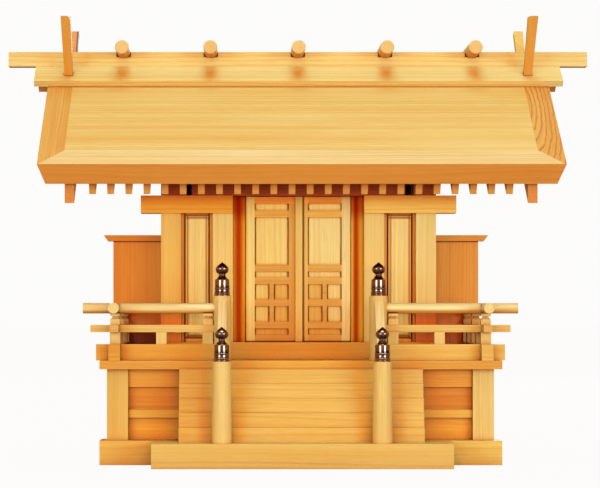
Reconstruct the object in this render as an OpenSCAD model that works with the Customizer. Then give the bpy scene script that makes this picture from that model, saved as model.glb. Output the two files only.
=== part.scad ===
// Household shrine in plain cypress: a raised base with stairs and a railed veranda, a
// small hall with a pair of swing doors, and a gabled roof with ridge logs and finials.
// The front is -Y, up is +Z, and the origin is the middle of the footprint on the ground.
// All lengths are in millimetres. Distances called front or back run from the ridge line.

/* [Base] */
// Width of the veranda on each side of the hall
side_walk = 57.5; // [50:0.5:66]
// Distance from the ridge line to the front edge of the veranda
base_front = 115; // [108:1:122]
// Distance from the ridge line to the back edge of the veranda
base_back = 95; // [92:1:110]
// Height of the ground sills and of the front step
sill_h = 24; // [18:1:30]
// Depth of the front and back ground sills
sill_d = 35; // [32:1:40]
// Side of the square base posts
base_post_w = 21; // [17:1:24]
// Distance from the end of a ground sill to the base post on it
base_post_inset = 6.5; // [3:0.5:10]
// Depth that the base rails stand back from the post faces
base_rail_recess = 4; // [2:0.5:6]
// Thickness of the base rails
base_rail_t = 5; // [4:0.5:6]
// Height of the base rail under the veranda floor
base_top_rail_h = 18; // [12:1:22]
// Height of the middle base rail
base_mid_rail_h = 8; // [6:0.5:10]
// Height of the middle base rail's underside above the ground sill
base_mid_rail_rise = 22; // [16:1:26]
// Thickness of the boards behind the base rails
base_panel_t = 5; // [3:0.5:7]
// Thickness of the veranda floor
floor_t = 8.5; // [7:0.5:11]

/* [Stairs] */
// Height of one stair
riser_h = 14.1; // [12.5:0.1:15.5]
// Depth by which each stair stands in front of the next
going = 5.4; // [4:0.1:7]
// Reach of the stairs to each side of the newels' middles
stair_side = 42; // [36:0.5:48]
// Reach of the front step past each end of the stairs
step_side = 25.8; // [18:0.2:32]
// Depth of the front step
step_d = 54; // [50:1:62]

/* [Railing] */
// Distance from the veranda's front edge to the railing's line
rail_setback = 18; // [14:0.5:20]
// Distance from the veranda's side edge to the railing's line
rail_side_inset = 14.5; // [12:0.5:18]
// Width of the bottom rail
bottom_rail_w = 11.4; // [9:0.2:13]
// Height of the bottom rail
bottom_rail_h = 16; // [12:0.5:19]
// Reach of the bottom rail past the corner
bottom_rail_reach = 18.7; // [14:0.1:22]
// Depth of the middle rail
middle_rail_w = 8.5; // [7:0.1:10]
// Height of the middle rail
middle_rail_h = 7.2; // [6:0.1:9]
// Reach of the middle rail past the corner
middle_rail_reach = 24.4; // [18:0.1:28]
// Diameter of the top rail
top_rail_d = 10.4; // [9:0.1:12]
// Reach of the top rail past the corner
top_rail_reach = 32; // [26:0.5:38]
// Side of the square struts under the middle rail
lower_strut_w = 10.3; // [8:0.1:12]
// Height of the struts under the middle rail
lower_strut_h = 12; // [9:0.5:15]
// Width of the shouldered struts under the top rail
upper_strut_w = 9.5; // [8:0.1:11]
// Height of the shouldered struts under the top rail
upper_strut_h = 11.3; // [9:0.1:14]

/* [Newels] */
// Diameter of the upper newel posts
upper_newel_d = 18.2; // [16:0.1:20]
// Height of the upper newel posts under their caps
upper_newel_h = 64; // [58:1:72]
// Diameter of the lower newel posts at the foot
lower_newel_foot_d = 19.6; // [18:0.1:21]
// Diameter of the lower newel posts at the top
lower_newel_top_d = 17.6; // [16.8:0.1:19]
// Distance from the front step's front edge to the lower newel's middle
lower_newel_setback = 14; // [12:0.5:17]
// Height of an onion-shaped newel cap
cap_h = 33.6; // [28:0.1:38]
// Radius of the newel cap's lip
cap_lip_r = 8.3; // [7.8:0.1:8.4]
// Radius of the newel cap's skirt
cap_skirt_r = 7.6; // [6.8:0.1:7.8]
// Radius of the newel cap's neck
cap_neck_r = 3; // [2.4:0.1:3.8]
// Radius of the newel cap's bulb
cap_bulb_r = 6.6; // [5.6:0.1:7.2]
// Width of the stair handrails
handrail_w = 8.5; // [7:0.1:10]
// Upright height of the stair handrails
handrail_h = 12.7; // [10:0.1:15]
// Depth of the stair handrails below the newel tops
handrail_drop = 1; // [0.5:0.1:3]
// Depth to which rails and handrails are let into the newels
tenon = 3; // [2:0.5:4]

/* [Hall] */
// Clear width between the door jambs
doorway_w = 109.6; // [100:0.2:120]
// Distance from the ridge line to the hall's front
hall_front = 30; // [26:0.5:36]
// Distance from the ridge line to the hall's back
hall_back = 85; // [80:0.5:90]
// Side of the square hall pillars
pillar_w = 20.6; // [18:0.1:22]
// Clear width of each side bay
bay_w = 32.4; // [28:0.1:36]
// Height of the hall's front sill
hall_sill_h = 17; // [13:0.5:20]
// Height of the front pillars
pillar_h = 132.6; // [120:0.2:145]
// Height of the head beams over the side bays
head_beam_h = 17.9; // [15:0.1:22]
// Reach of the head beams past the hall's sides
head_beam_reach = 20.7; // [15:0.1:26]
// Depth by which sill and head beams stand proud of the pillars
beam_proud = 2; // [1:0.5:3]
// Height of the wall over the head beams
upper_wall_h = 48.4; // [44:0.1:54]
// Width of the slots in the wall over the head beams
wall_slot_w = 5.7; // [4:0.1:8]
// Height of the slots in the wall over the head beams
wall_slot_h = 24; // [16:1:36]
// Thickness of the hall's walls and door jambs
wall_t = 8; // [6:0.5:10]
// Depth that side and back walls stand back from the pillar faces
wall_recess = 2; // [1:0.5:3]
// Thickness of the boards that close the side bays
bay_board_t = 6; // [4:0.5:7]
// Depth of the side bay boards behind the pillar faces
bay_recess = 6; // [5:0.5:8]
// Thickness of the raised panels in the side bays
bay_panel_t = 3; // [2:0.2:4]
// Margin beside a raised bay panel
bay_panel_side = 4.5; // [3:0.1:6]
// Margin under a raised bay panel
bay_panel_foot = 5; // [3:0.5:8]
// Margin over a raised bay panel
bay_panel_head = 2.5; // [2:0.5:6]
// Width of the bevel round a raised bay panel
bay_panel_bevel = 3; // [1.5:0.1:3.5]
// Thickness of the raised panels at their edges
bay_panel_edge = 0.8; // [0.5:0.1:1.5]
// Width of the groove round a raised bay panel
bay_groove_w = 1.3; // [0.8:0.1:2]
// Depth of the groove round a raised bay panel
bay_groove_d = 3.5; // [2:0.1:3.8]

/* [Wing screens] */
// Distance from the veranda's side edge to a wing screen's outer edge
wing_inset = 2.3; // [0:0.1:6]
// Distance from the ridge line to the front face of the wing screens
wing_front = 75; // [66:1:76]
// Thickness of the wing screens
wing_t = 8; // [6:0.5:9]
// Height of the wing screens
wing_h = 124.5; // [110:0.5:138]
// Thickness of the caps on the wing screens
wing_cap_t = 6.2; // [4:0.1:8]
// Overhang of the caps on the wing screens
wing_cap_over = 10; // [7:0.5:14]
// Length of the slanting cut at the outer end of a wing cap
wing_cap_cut = 4.2; // [2:0.1:6.5]
// Overhang of those caps to the front and back
wing_cap_lip = 5; // [2:0.5:7]

/* [Doors] */
// Width of each door jamb
jamb_w = 12.6; // [10:0.1:15]
// Depth of the doors behind the pillar faces
door_recess = 12; // [9:0.5:13]
// Thickness of the doors
door_t = 7; // [6:0.1:8]
// Depth of the jamb faces behind the door faces
jamb_setback = 2; // [1:0.5:3]
// Height of the lintel over the doors
lintel_h = 14; // [11:0.5:18]
// Gap round each door
door_gap = 0.6; // [0.5:0.1:0.8]
// Distance of the doors' meeting line from the middle of the hall
meeting_offset = 4.6; // [3:0.1:6]
// Width of the door stiles on the pivot side
pivot_stile_w = 9.4; // [8:0.1:11]
// Width of the right door's stile on the meeting side
meeting_stile_w = 5; // [4:0.1:7]
// Height of every door rail
door_rail_h = 7.1; // [6:0.1:8]
// Width of the upright bar that splits the small door panels
muntin_w = 4.6; // [3.5:0.1:6]
// Thickness of the door panels
door_panel_t = 3; // [2:0.1:3.6]
// Depth of the door panels behind the door face
door_panel_recess = 2.8; // [1.4:0.1:3.2]
// Gap between a door panel and the stiles or muntin beside it
door_panel_slit = 1; // [0.3:0.1:1.2]
// Width of the strip that covers the meeting of the doors
meeting_strip_w = 7.2; // [6:0.1:9]
// Thickness of the meeting strip
meeting_strip_t = 2.4; // [1.6:0.1:3.2]
// Radius of the door pivots
pivot_r = 1.1; // [0.9:0.05:1.3]
// Length of the door pivots
pivot_l = 6; // [5:0.5:8]
// Distance of a pivot's axis from the door's edge and face
pivot_edge = 1.8; // [1.6:0.1:2.2]

/* [Roof] */
// Slope of both roof planes in degrees
roof_pitch = 36.6; // [34:0.2:39]
// Reach of the roof past each side of the veranda
roof_side = 59; // [50:0.5:66]
// Distance from the ridge line to the front eave
eave_front = 144.6; // [138:0.2:152]
// Distance from the ridge line to the back eave
eave_back = 100; // [95:0.5:106]
// Thickness of the roof boards
roof_t = 23; // [19:0.1:26]
// Width of the mitred eave and verge boards
border_w = 25.5; // [20:0.5:30]
// Distance from the roof's corner to the toe of the mitre
mitre_toe = 0.8; // [0.5:0.1:2]
// Inward lean of the verges over the roof's thickness
verge_lean = 7.1; // [4:0.1:10]
// Width of a rafter
rafter_w = 6.4; // [5:0.1:8]
// Depth of a rafter
rafter_h = 14.6; // [12:0.1:17]
// Distance of the rafter ends from the eave along the slope
rafter_setback = 4; // [2:0.5:8]
// Thickness of the bargeboards
barge_t = 9.4; // [8:0.1:11]
// Depth of the bargeboards
barge_h = 20; // [17:0.2:24]
// Distance from the verge to the middle of a bargeboard
barge_inset = 30; // [26:0.5:36]
// Distance from the eave back to the plumb end of a bargeboard
barge_setback = 22.6; // [18:0.2:28]
// Width of the wall plates
plate_w = 16; // [13:0.5:18]
// Height of the wall plates at their outer face
plate_h = 14; // [10:0.5:18]
// Width of the ridge purlin
purlin_w = 14; // [11:0.5:18]
// Height of the ridge purlin at its sides
purlin_h = 24; // [22:0.5:28]

/* [Ridge] */
// Reach of the ridge boards past the verges
ridge_board_reach = 14; // [9:0.5:18]
// Distance from the ridge line to the edge of a ridge board on the roof
ridge_board_run = 26; // [24:0.5:32]
// Thickness of the ridge boards
ridge_board_t = 6.5; // [5:0.1:8]
// Reach of the ridge beam past the ridge boards
ridge_beam_reach = 28.5; // [20:0.5:34]
// Width of the ridge beam
ridge_beam_w = 12; // [10:0.5:15]
// Height of the ridge beam at its sides
ridge_beam_h = 15; // [13:0.5:18]
// Diameter of a ridge log
log_d = 14.3; // [12:0.1:16]
// Length of a ridge log
log_l = 82; // [70:1:92]
// Distance between the ridge logs
log_spacing = 90.3; // [80:0.1:96]
// Depth to which the ridge logs are let into the beam
log_seat = 6.3; // [4:0.1:7]
// Height of the floor of a log's housings over the underside of the log
log_bed = 1; // [0.5:0.1:2]
// Gap between a log's sides and its housings
log_gap = 0.3; // [0.1:0.1:0.6]
// Depth of the square housings for the logs in the front and back faces of the beam
log_housing = 3.5; // [2:0.1:4.5]
// Bevel on the ends of the ridge logs
log_bevel = 0.8; // [0.4:0.1:1.4]
// Length of a finial above the roof boards
finial_l = 76; // [66:0.5:84]
// Gap round a finial in the ridge board
finial_gap = 0.4; // [0.2:0.1:0.8]
// Width of a finial at its foot
finial_foot_w = 8.4; // [7:0.1:9]
// Width of a finial at its tip
finial_tip_w = 9.8; // [9:0.1:11]
// Thickness of a finial
finial_t = 7; // [5:0.1:8]
// Distance from the verge to the middle of a finial
finial_inset = 21; // [17:0.5:25]
// Distance along the slope from the ridge line to the middle of a finial
finial_run = 18; // [16:0.2:20]

/* [Hidden] */

// Sides of the round pieces
$fn = 64;
// Overrun of every cut past the face it opens
over = 1;
// Radial clearance of a door pivot in its hole
pivot_clearance = 0.05;
stair_steps = 5;
rafter_count = 24;
log_count = 5;
side_bays = 4;
// Rows of door panels from the top, as shares of the height between the rails
door_row_shares = [0.07, 0.49, 0.06, 0.155, 0.16, 0.065];
// First and last row of door panels that the muntin splits, counted from zero
split_rows = [3, 4];

// Colours of the wood and of the metal caps
wood = [0.93, 0.74, 0.45];
wood_pale = [0.96, 0.81, 0.55];
wood_shade = [0.85, 0.6, 0.31];
bronze = [0.4, 0.31, 0.18];

// Heights of the base and the railing
floor_low = sill_h + stair_steps * riser_h;
floor_top = floor_low + floor_t;
middle_rail_z = floor_top + bottom_rail_h + lower_strut_h;
upper_strut_z = middle_rail_z + middle_rail_h;
top_rail_z = upper_strut_z + upper_strut_h + top_rail_d / 2;

// Heights of the hall
hall_sill_top = floor_top + hall_sill_h;
pillar_top = hall_sill_top + pillar_h;
head_beam_top = pillar_top + head_beam_h;
plate_low = head_beam_top + upper_wall_h;

// Roof planes: the rafters rest on the front wall plate's outer edge
cover = roof_t + rafter_h;
apex_z = plate_low + plate_h + hall_front * tan(roof_pitch) + cover / cos(roof_pitch);
// Height of the rafters' underside at a distance from the ridge line
function under_rafters(run) = apex_z - cover / cos(roof_pitch) - run * tan(roof_pitch);
// Height of the roof boards' underside at a distance from the ridge line
function under_boards(run) = apex_z - roof_t / cos(roof_pitch) - run * tan(roof_pitch);
// Height of the ridge boards' top at a distance from the ridge line
function over_ridge_boards(run) = apex_z + ridge_board_t / cos(roof_pitch) - run * tan(roof_pitch);
// Place down the slope of a point at a distance from the ridge line and a depth in the roof
function down_slope(run, depth) = (run + depth * sin(roof_pitch)) / cos(roof_pitch);

// Places to the front and back: the footprint is centred on the origin
front_reach = max(base_front + step_d, eave_front);
back_reach = max(base_back, eave_back);
ridge_y = (front_reach - back_reach) / 2;
function ahead(run) = ridge_y - run;
function behind(run) = ridge_y + run;
base_post_front = base_front - (sill_d - base_post_w);
base_post_back = base_back - (sill_d - base_post_w);
base_rail_front = base_post_front - base_rail_recess;
rail_front = base_front - rail_setback;
lower_newel_front = base_front + step_d - lower_newel_setback;
hall_y = [ahead(hall_front), behind(hall_back)];
front_beam_y = [hall_y[0] - beam_proud, hall_y[0] + pillar_w];
door_y = hall_y[0] + door_recess;
jamb_y = [door_y + jamb_setback, door_y + jamb_setback + wall_t];
pivot_y = door_y + pivot_edge;

// Places across, from the doorway out to the roof
jamb_in_x = doorway_w / 2;
jamb_out_x = jamb_in_x + jamb_w;
bay_in_x = jamb_out_x + pillar_w;
bay_out_x = bay_in_x + bay_w;
hall_x = bay_out_x + pillar_w;
base_x = hall_x + side_walk;
base_post_x = base_x - base_post_inset;
rail_x = base_x - rail_side_inset;
wing_x = base_x - wing_inset;
newel_x = jamb_out_x + pillar_w / 2;
stair_x = newel_x + stair_side;
step_x = stair_x + step_side;
pivot_x = jamb_in_x - door_gap - pivot_edge;
verge_x = base_x + roof_side;
barge_x = verge_x - barge_inset;
barge_in_x = barge_x - barge_t / 2;
rafter_spacing = 2 * barge_in_x / (rafter_count + 1);
ridge_board_x = verge_x + ridge_board_reach;
ridge_beam_x = ridge_board_x + ridge_beam_reach;
finial_x = verge_x - finial_inset;
ridge_beam_low = over_ridge_boards(ridge_beam_w / 2);
ridge_beam_top = ridge_beam_low + ridge_beam_h;
log_z = ridge_beam_top - log_seat + log_d / 2;

// Doors: the left one reaches past the middle, to the meeting line
left_door_w = jamb_in_x + meeting_offset - 1.5 * door_gap;
right_door_w = jamb_in_x - meeting_offset - 1.5 * door_gap;
door_clear_w = right_door_w - pivot_stile_w - meeting_stile_w;
door_z = [hall_sill_top + door_gap, head_beam_top - door_gap];
door_h = door_z[1] - door_z[0];
door_rows = len(door_row_shares);
door_clear_h = door_h - (door_rows + 1) * door_rail_h;
// Sum of the first shares of a list
function sum_of(list, count) = count == 0 ? 0 : list[count - 1] + sum_of(list, count - 1);

// A box between two places along each axis
module span(x, y, z) {
    translate([x[0], y[0], z[0]])
        cube([x[1] - x[0], y[1] - y[0], z[1] - z[0]]);
}

// The children and their mirror image on the other side of the hall
module both_sides() {
    children();
    mirror([1, 0, 0]) children();
}

// A profile drawn as [y, z], run from one place across to another
module run_x(x) {
    translate([x[0], 0, 0])
        rotate([90, 0, 90])
            linear_extrude(x[1] - x[0]) children();
}

// Children drawn on a roof plane: x across, y down the slope, z out of the roof
module on_back_slope() {
    translate([0, ridge_y, apex_z])
        rotate([-roof_pitch, 0, 0]) children();
}

module on_front_slope() {
    translate([0, ridge_y, apex_z])
        mirror([0, 1, 0])
            rotate([-roof_pitch, 0, 0]) children();
}

// Base: step, sills, posts, rails, boards, floor and stairs

module front_step() {
    color(wood)
        span([-step_x, step_x], [ahead(base_front + step_d), ahead(base_front)], [0, sill_h]);
}

module end_sills() {
    color(wood_shade) {
        span([-base_x, base_x], [ahead(base_front), ahead(base_front - sill_d)], [0, sill_h]);
        span([-base_x, base_x], [behind(base_back - sill_d), behind(base_back)], [0, sill_h]);
    }
}

module side_sills() {
    color(wood_shade)
        both_sides()
            span([base_post_x - base_post_w, base_post_x],
                 [ahead(base_front - sill_d), behind(base_back - sill_d)], [0, sill_h]);
}

module base_posts() {
    color(wood)
        both_sides() {
            span([base_post_x - base_post_w, base_post_x],
                 [ahead(base_post_front), ahead(base_post_front - base_post_w)], [sill_h, floor_low]);
            span([base_post_x - base_post_w, base_post_x],
                 [behind(base_post_back - base_post_w), behind(base_post_back)], [sill_h, floor_low]);
        }
}

// Boards between the posts on all four sides, at a depth behind the post faces
module base_ring(depth, thickness, z) {
    inner_x = base_post_x - base_post_w;
    span([-inner_x, inner_x], [ahead(base_post_front - depth), ahead(base_post_front - depth - thickness)], z);
    span([-inner_x, inner_x], [behind(base_post_back - depth - thickness), behind(base_post_back - depth)], z);
    both_sides()
        span([base_post_x - depth - thickness, base_post_x - depth],
             [ahead(base_post_front - base_post_w), behind(base_post_back - base_post_w)], z);
}

module base_rails() {
    middle_z = sill_h + base_mid_rail_rise;
    color(wood) {
        base_ring(base_rail_recess, base_rail_t, [floor_low - base_top_rail_h, floor_low]);
        base_ring(base_rail_recess, base_rail_t, [middle_z, middle_z + base_mid_rail_h]);
    }
}

module base_panels() {
    color(wood_shade)
        base_ring(base_rail_recess + base_rail_t, base_panel_t, [sill_h, floor_low]);
}

module veranda_floor() {
    color(wood)
        span([-base_x, base_x], [ahead(base_front), behind(base_back)], [floor_low, floor_top]);
}

// One stair, counted from the lowest
module stair_step(count) {
    front = base_front + (stair_steps + 1 - count) * going;
    color(wood)
        span([-stair_x, stair_x], [ahead(front), ahead(base_rail_front)],
             [sill_h + (count - 1) * riser_h, sill_h + count * riser_h]);
}

// Railing: rails that cross in half laps at the corners, and the struts between them

// Upper half of a crossing, where the front rail gives way to the side rail
module crossing(size, z) {
    span([rail_x - size / 2, rail_x + size / 2],
         [ahead(rail_front) - size / 2, ahead(rail_front) + size / 2], z);
}

module front_rail_box(width, reach, z) {
    span([newel_x + upper_newel_d / 2 - tenon, rail_x + reach],
         [ahead(rail_front) - width / 2, ahead(rail_front) + width / 2], z);
}

module side_rail_box(width, reach, z) {
    span([rail_x - width / 2, rail_x + width / 2],
         [ahead(rail_front + reach), behind(wing_front)], z);
}

module front_top_rail() {
    start = newel_x + upper_newel_d / 2 - tenon;
    translate([start, ahead(rail_front), top_rail_z])
        rotate([0, 90, 0]) cylinder(d = top_rail_d, h = rail_x + top_rail_reach - start);
}

module side_top_rail() {
    translate([rail_x, ahead(rail_front + top_rail_reach), top_rail_z])
        rotate([-90, 0, 0]) cylinder(d = top_rail_d, h = rail_front + top_rail_reach + wing_front);
}

// The front rails of one side before the laps are cut
module front_rail_set() {
    front_rail_box(bottom_rail_w, bottom_rail_reach, [floor_top, floor_top + bottom_rail_h]);
    front_rail_box(middle_rail_w, middle_rail_reach, [middle_rail_z, upper_strut_z]);
    front_top_rail();
}

module front_rails() {
    color(wood_pale)
        both_sides()
            difference() {
                front_rail_set();
                crossing(bottom_rail_w, [floor_top + bottom_rail_h / 2, floor_top + bottom_rail_h + over]);
                crossing(middle_rail_w, [middle_rail_z + middle_rail_h / 2, upper_strut_z + over]);
                crossing(top_rail_d, [top_rail_z, top_rail_z + top_rail_d / 2 + over]);
            }
}

module side_rails() {
    color(wood_pale)
        both_sides()
            difference() {
                union() {
                    side_rail_box(bottom_rail_w, bottom_rail_reach, [floor_top, floor_top + bottom_rail_h]);
                    side_rail_box(middle_rail_w, middle_rail_reach, [middle_rail_z, upper_strut_z]);
                    side_top_rail();
                }
                crossing(bottom_rail_w, [floor_top - over, floor_top + bottom_rail_h / 2]);
                crossing(middle_rail_w, [middle_rail_z - over, middle_rail_z + middle_rail_h / 2]);
                crossing(top_rail_d, [top_rail_z - top_rail_d / 2 - over, top_rail_z]);
            }
}

// Outline of a shouldered strut: a body with round shoulders, a neck and a bearing block
module strut_outline() {
    body_h = 0.63 * upper_strut_h;
    block_h = 0.24 * upper_strut_h;
    shoulder_r = 0.3 * upper_strut_w;
    neck_w = 0.62 * upper_strut_w;
    translate([-upper_strut_w / 2, 0]) square([upper_strut_w, body_h - shoulder_r]);
    translate([shoulder_r - upper_strut_w / 2, 0]) square([upper_strut_w - 2 * shoulder_r, body_h]);
    for (side = [-1, 1])
        translate([side * (upper_strut_w / 2 - shoulder_r), body_h - shoulder_r]) circle(r = shoulder_r);
    translate([-neck_w / 2, 0]) square([neck_w, upper_strut_h]);
    translate([-upper_strut_w / 2, upper_strut_h - block_h]) square([upper_strut_w, block_h]);
}

// A shouldered strut has the same outline from the front and from the side
module upper_strut(x, y) {
    translate([x, y, upper_strut_z])
        intersection() {
            rotate([90, 0, 0]) linear_extrude(upper_strut_w, center = true) strut_outline();
            rotate([90, 0, 90]) linear_extrude(upper_strut_w, center = true) strut_outline();
        }
}

module lower_strut(x, y) {
    span([x - lower_strut_w / 2, x + lower_strut_w / 2], [y - lower_strut_w / 2, y + lower_strut_w / 2],
         [floor_top + bottom_rail_h, middle_rail_z]);
}

module rail_struts() {
    end_x = newel_x + upper_newel_d / 2 + lower_strut_w / 2;
    corner_y = ahead(rail_front);
    end_y = behind(wing_front) - lower_strut_w / 2;
    side_step = (end_y - corner_y) / side_bays;
    color(wood_pale)
        both_sides() {
            lower_strut(end_x, corner_y);
            lower_strut((end_x + rail_x) / 2, corner_y);
            upper_strut(end_x, corner_y);
            for (place = [0:side_bays])
                lower_strut(rail_x, corner_y + place * side_step);
            for (place = [0:2:side_bays])
                upper_strut(rail_x, corner_y + place * side_step);
        }
}

// Newels: round posts that take the rails, the stair handrails and the metal caps

// The handrail starts just under one newel's top, ends just under the other's, and is let into both
module stair_handrail() {
    low_face = ahead(lower_newel_front) + lower_newel_top_d / 2;
    low_y = low_face - tenon;
    high_y = ahead(rail_front) - upper_newel_d / 2 + tenon;
    low_face_top = floor_top - handrail_drop;
    high_top = floor_top + upper_newel_h - handrail_drop;
    low_top = low_face_top - tenon * (high_top - low_face_top) / (high_y - low_face);
    run_x([newel_x - handrail_w / 2, newel_x + handrail_w / 2])
        polygon([[low_y, low_top - handrail_h], [high_y, high_top - handrail_h],
                 [high_y, high_top], [low_y, low_top]]);
}

module stair_handrails() {
    color(wood_pale) both_sides() stair_handrail();
}

module upper_newels() {
    color(wood_pale)
        both_sides()
            difference() {
                translate([newel_x, ahead(rail_front), floor_top])
                    cylinder(d = upper_newel_d, h = upper_newel_h);
                front_rail_set();
                stair_handrail();
            }
}

module lower_newels() {
    color(wood_pale)
        both_sides()
            difference() {
                translate([newel_x, ahead(lower_newel_front), sill_h])
                    cylinder(d1 = lower_newel_foot_d, d2 = lower_newel_top_d, h = floor_top - sill_h);
                stair_handrail();
            }
}

// Half outline of a cap: flared lip, straight skirt, hollow shoulder, neck and onion bulb
lip_share = 0.045;
skirt_share = 0.15;
shoulder_share = 0.47;
neck_share = 0.64;
bulb_share = 0.8;
curve_steps = 8;
cap_shoulder = [
    for (i = [0:curve_steps])
        let (t = i / curve_steps)
        [cap_neck_r + (cap_skirt_r - cap_neck_r) * pow(1 - t, 1.7),
         cap_h * (shoulder_share + (neck_share - shoulder_share) * t)]
];
cap_bulb_low = [
    for (i = [1:curve_steps])
        let (t = 1 - i / curve_steps)
        [cap_neck_r + (cap_bulb_r - cap_neck_r) * sqrt(1 - t * t),
         cap_h * (bulb_share - (bulb_share - neck_share) * t)]
];
cap_bulb_high = [
    for (i = [1:curve_steps])
        let (t = i / curve_steps)
        [cap_bulb_r * pow(1 - pow(t, 1.7), 1.2), cap_h * (bulb_share + (1 - bulb_share) * t)]
];
cap_outline = concat(
    [[0, 0], [cap_lip_r, 0], [cap_lip_r, cap_h * lip_share], [cap_skirt_r, cap_h * skirt_share]],
    cap_shoulder, cap_bulb_low, cap_bulb_high
);

module newel_cap() {
    rotate_extrude() polygon(cap_outline);
}

module newel_caps() {
    color(bronze)
        both_sides() {
            translate([newel_x, ahead(rail_front), floor_top + upper_newel_h]) newel_cap();
            translate([newel_x, ahead(lower_newel_front), floor_top]) newel_cap();
        }
}

// Hall: sill, pillars, beams, bays, walls and the wing screens beside it

// Pivot holes of both doors, at a height
module pivot_holes(z) {
    both_sides()
        translate([pivot_x, pivot_y, z[0]])
            cylinder(r = pivot_r + pivot_clearance, h = z[1] - z[0]);
}

module hall_sill() {
    color(wood_shade)
        difference() {
            span([-hall_x, hall_x], [front_beam_y[0], jamb_y[1]], [floor_top, hall_sill_top]);
            pivot_holes([hall_sill_top - pivot_l, hall_sill_top + over]);
        }
}

module hall_pillars() {
    front_y = [hall_y[0], hall_y[0] + pillar_w];
    back_y = [hall_y[1] - pillar_w, hall_y[1]];
    color(wood)
        both_sides() {
            span([bay_out_x, hall_x], front_y, [hall_sill_top, pillar_top]);
            span([jamb_out_x, bay_in_x], front_y, [hall_sill_top, pillar_top]);
            span([bay_out_x, hall_x], back_y, [floor_top, under_rafters(hall_back) - plate_h]);
        }
}

module head_beams() {
    color(wood)
        both_sides()
            span([jamb_out_x, hall_x + head_beam_reach], front_beam_y, [pillar_top, head_beam_top]);
}

// Extent of a raised panel and of the face it lies on
bay_panel_x = [bay_in_x + bay_panel_side, bay_out_x - bay_panel_side];
bay_panel_z = [hall_sill_top + bay_panel_foot, pillar_top - bay_panel_head];
bay_face = hall_y[0] + bay_recess;

// A block behind a raised panel, widened by a margin on every side
module bay_block(margin, y) {
    span([bay_panel_x[0] - margin, bay_panel_x[1] + margin], y,
         [bay_panel_z[0] - margin, bay_panel_z[1] + margin]);
}

// Boards with a groove that frames the raised panels
module bay_boards() {
    color(wood_shade)
        both_sides()
            difference() {
                span([bay_in_x, bay_out_x], [bay_face, bay_face + bay_board_t], [hall_sill_top, pillar_top]);
                difference() {
                    bay_block(bay_groove_w, [bay_face - over, bay_face + bay_groove_d]);
                    bay_block(0, [bay_face - 2 * over, bay_face + bay_groove_d + over]);
                }
            }
}

// Raised panels: bevelled on all four edges
module bay_panels() {
    x = bay_panel_x;
    z = bay_panel_z;
    back = bay_face;
    edge = back - bay_panel_edge;
    face = back - bay_panel_t;
    color(wood_pale)
        both_sides()
            intersection() {
                translate([0, 0, z[0]])
                    linear_extrude(z[1] - z[0])
                        polygon([[x[0], back], [x[1], back], [x[1], edge], [x[1] - bay_panel_bevel, face],
                                 [x[0] + bay_panel_bevel, face], [x[0], edge]]);
                run_x(x)
                    polygon([[back, z[0]], [back, z[1]], [edge, z[1]], [face, z[1] - bay_panel_bevel],
                             [face, z[0] + bay_panel_bevel], [edge, z[0]]]);
            }
}

module door_jambs() {
    color(wood_shade)
        both_sides() span([jamb_in_x, jamb_out_x], jamb_y, [hall_sill_top, head_beam_top]);
}

module door_lintel() {
    color(wood_shade)
        difference() {
            span([-bay_in_x, bay_in_x], [hall_y[0] + wall_t, jamb_y[1]], [head_beam_top, head_beam_top + lintel_h]);
            pivot_holes([head_beam_top - over, head_beam_top + pivot_l]);
        }
}

// Front wall over the beams, with a slot over each side bay
module upper_front_wall() {
    slot_x = bay_out_x - bay_w / 4;
    color(wood_shade)
        difference() {
            span([-hall_x, hall_x], [hall_y[0], hall_y[0] + wall_t], [head_beam_top, plate_low]);
            both_sides()
                span([slot_x - wall_slot_w / 2, slot_x + wall_slot_w / 2],
                     [hall_y[0] - over, hall_y[0] + wall_t + over],
                     [head_beam_top - over, head_beam_top + wall_slot_h]);
        }
}

// A gable wall up to the rafters, stepped round the sill, pillars and beams that it meets
module gable_wall() {
    outer_x = hall_x - wall_recess;
    back_low = under_rafters(hall_back) - plate_h;
    purlin_low = under_boards(purlin_w / 2) - purlin_h;
    run_x([outer_x - wall_t, outer_x])
        polygon([[jamb_y[1], floor_top], [hall_y[1] - pillar_w, floor_top],
                 [hall_y[1] - pillar_w, back_low], [hall_y[1] - plate_w, back_low],
                 [hall_y[1] - plate_w, under_rafters(hall_back - plate_w)],
                 [behind(purlin_w / 2), under_rafters(purlin_w / 2)], [behind(purlin_w / 2), purlin_low],
                 [ahead(purlin_w / 2), purlin_low], [ahead(purlin_w / 2), under_rafters(purlin_w / 2)],
                 [hall_y[0] + plate_w, under_rafters(hall_front - plate_w)], [hall_y[0] + plate_w, plate_low],
                 [hall_y[0] + wall_t, plate_low], [hall_y[0] + wall_t, head_beam_top],
                 [hall_y[0] + pillar_w, head_beam_top], [hall_y[0] + pillar_w, hall_sill_top],
                 [jamb_y[1], hall_sill_top]]);
}

module left_wall() {
    color(wood) mirror([1, 0, 0]) gable_wall();
}

module right_wall() {
    color(wood) gable_wall();
}

module back_wall() {
    y = hall_y[1] - wall_recess;
    color(wood)
        span([-bay_out_x, bay_out_x], [y - wall_t, y], [floor_top, under_rafters(hall_back) - plate_h]);
}

module wing_screens() {
    color(wood_shade)
        both_sides()
            span([hall_x, wing_x], [behind(wing_front), behind(wing_front + wing_t)],
                 [floor_top, floor_top + wing_h]);
}

// Caps with their outer ends cut back towards the underside
module wing_caps() {
    z = floor_top + wing_h;
    outer = wing_x + wing_cap_over;
    y = [behind(wing_front - wing_cap_lip), behind(wing_front + wing_t + wing_cap_lip)];
    color(wood)
        both_sides()
            translate([0, y[1], 0])
                rotate([90, 0, 0])
                    linear_extrude(y[1] - y[0])
                        polygon([[hall_x, z], [outer - wing_cap_cut, z], [outer, z + wing_cap_t],
                                 [hall_x, z + wing_cap_t]]);
}

// Doors: framed leaves with let-in panels, drawn with the pivot edge at x = 0

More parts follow.
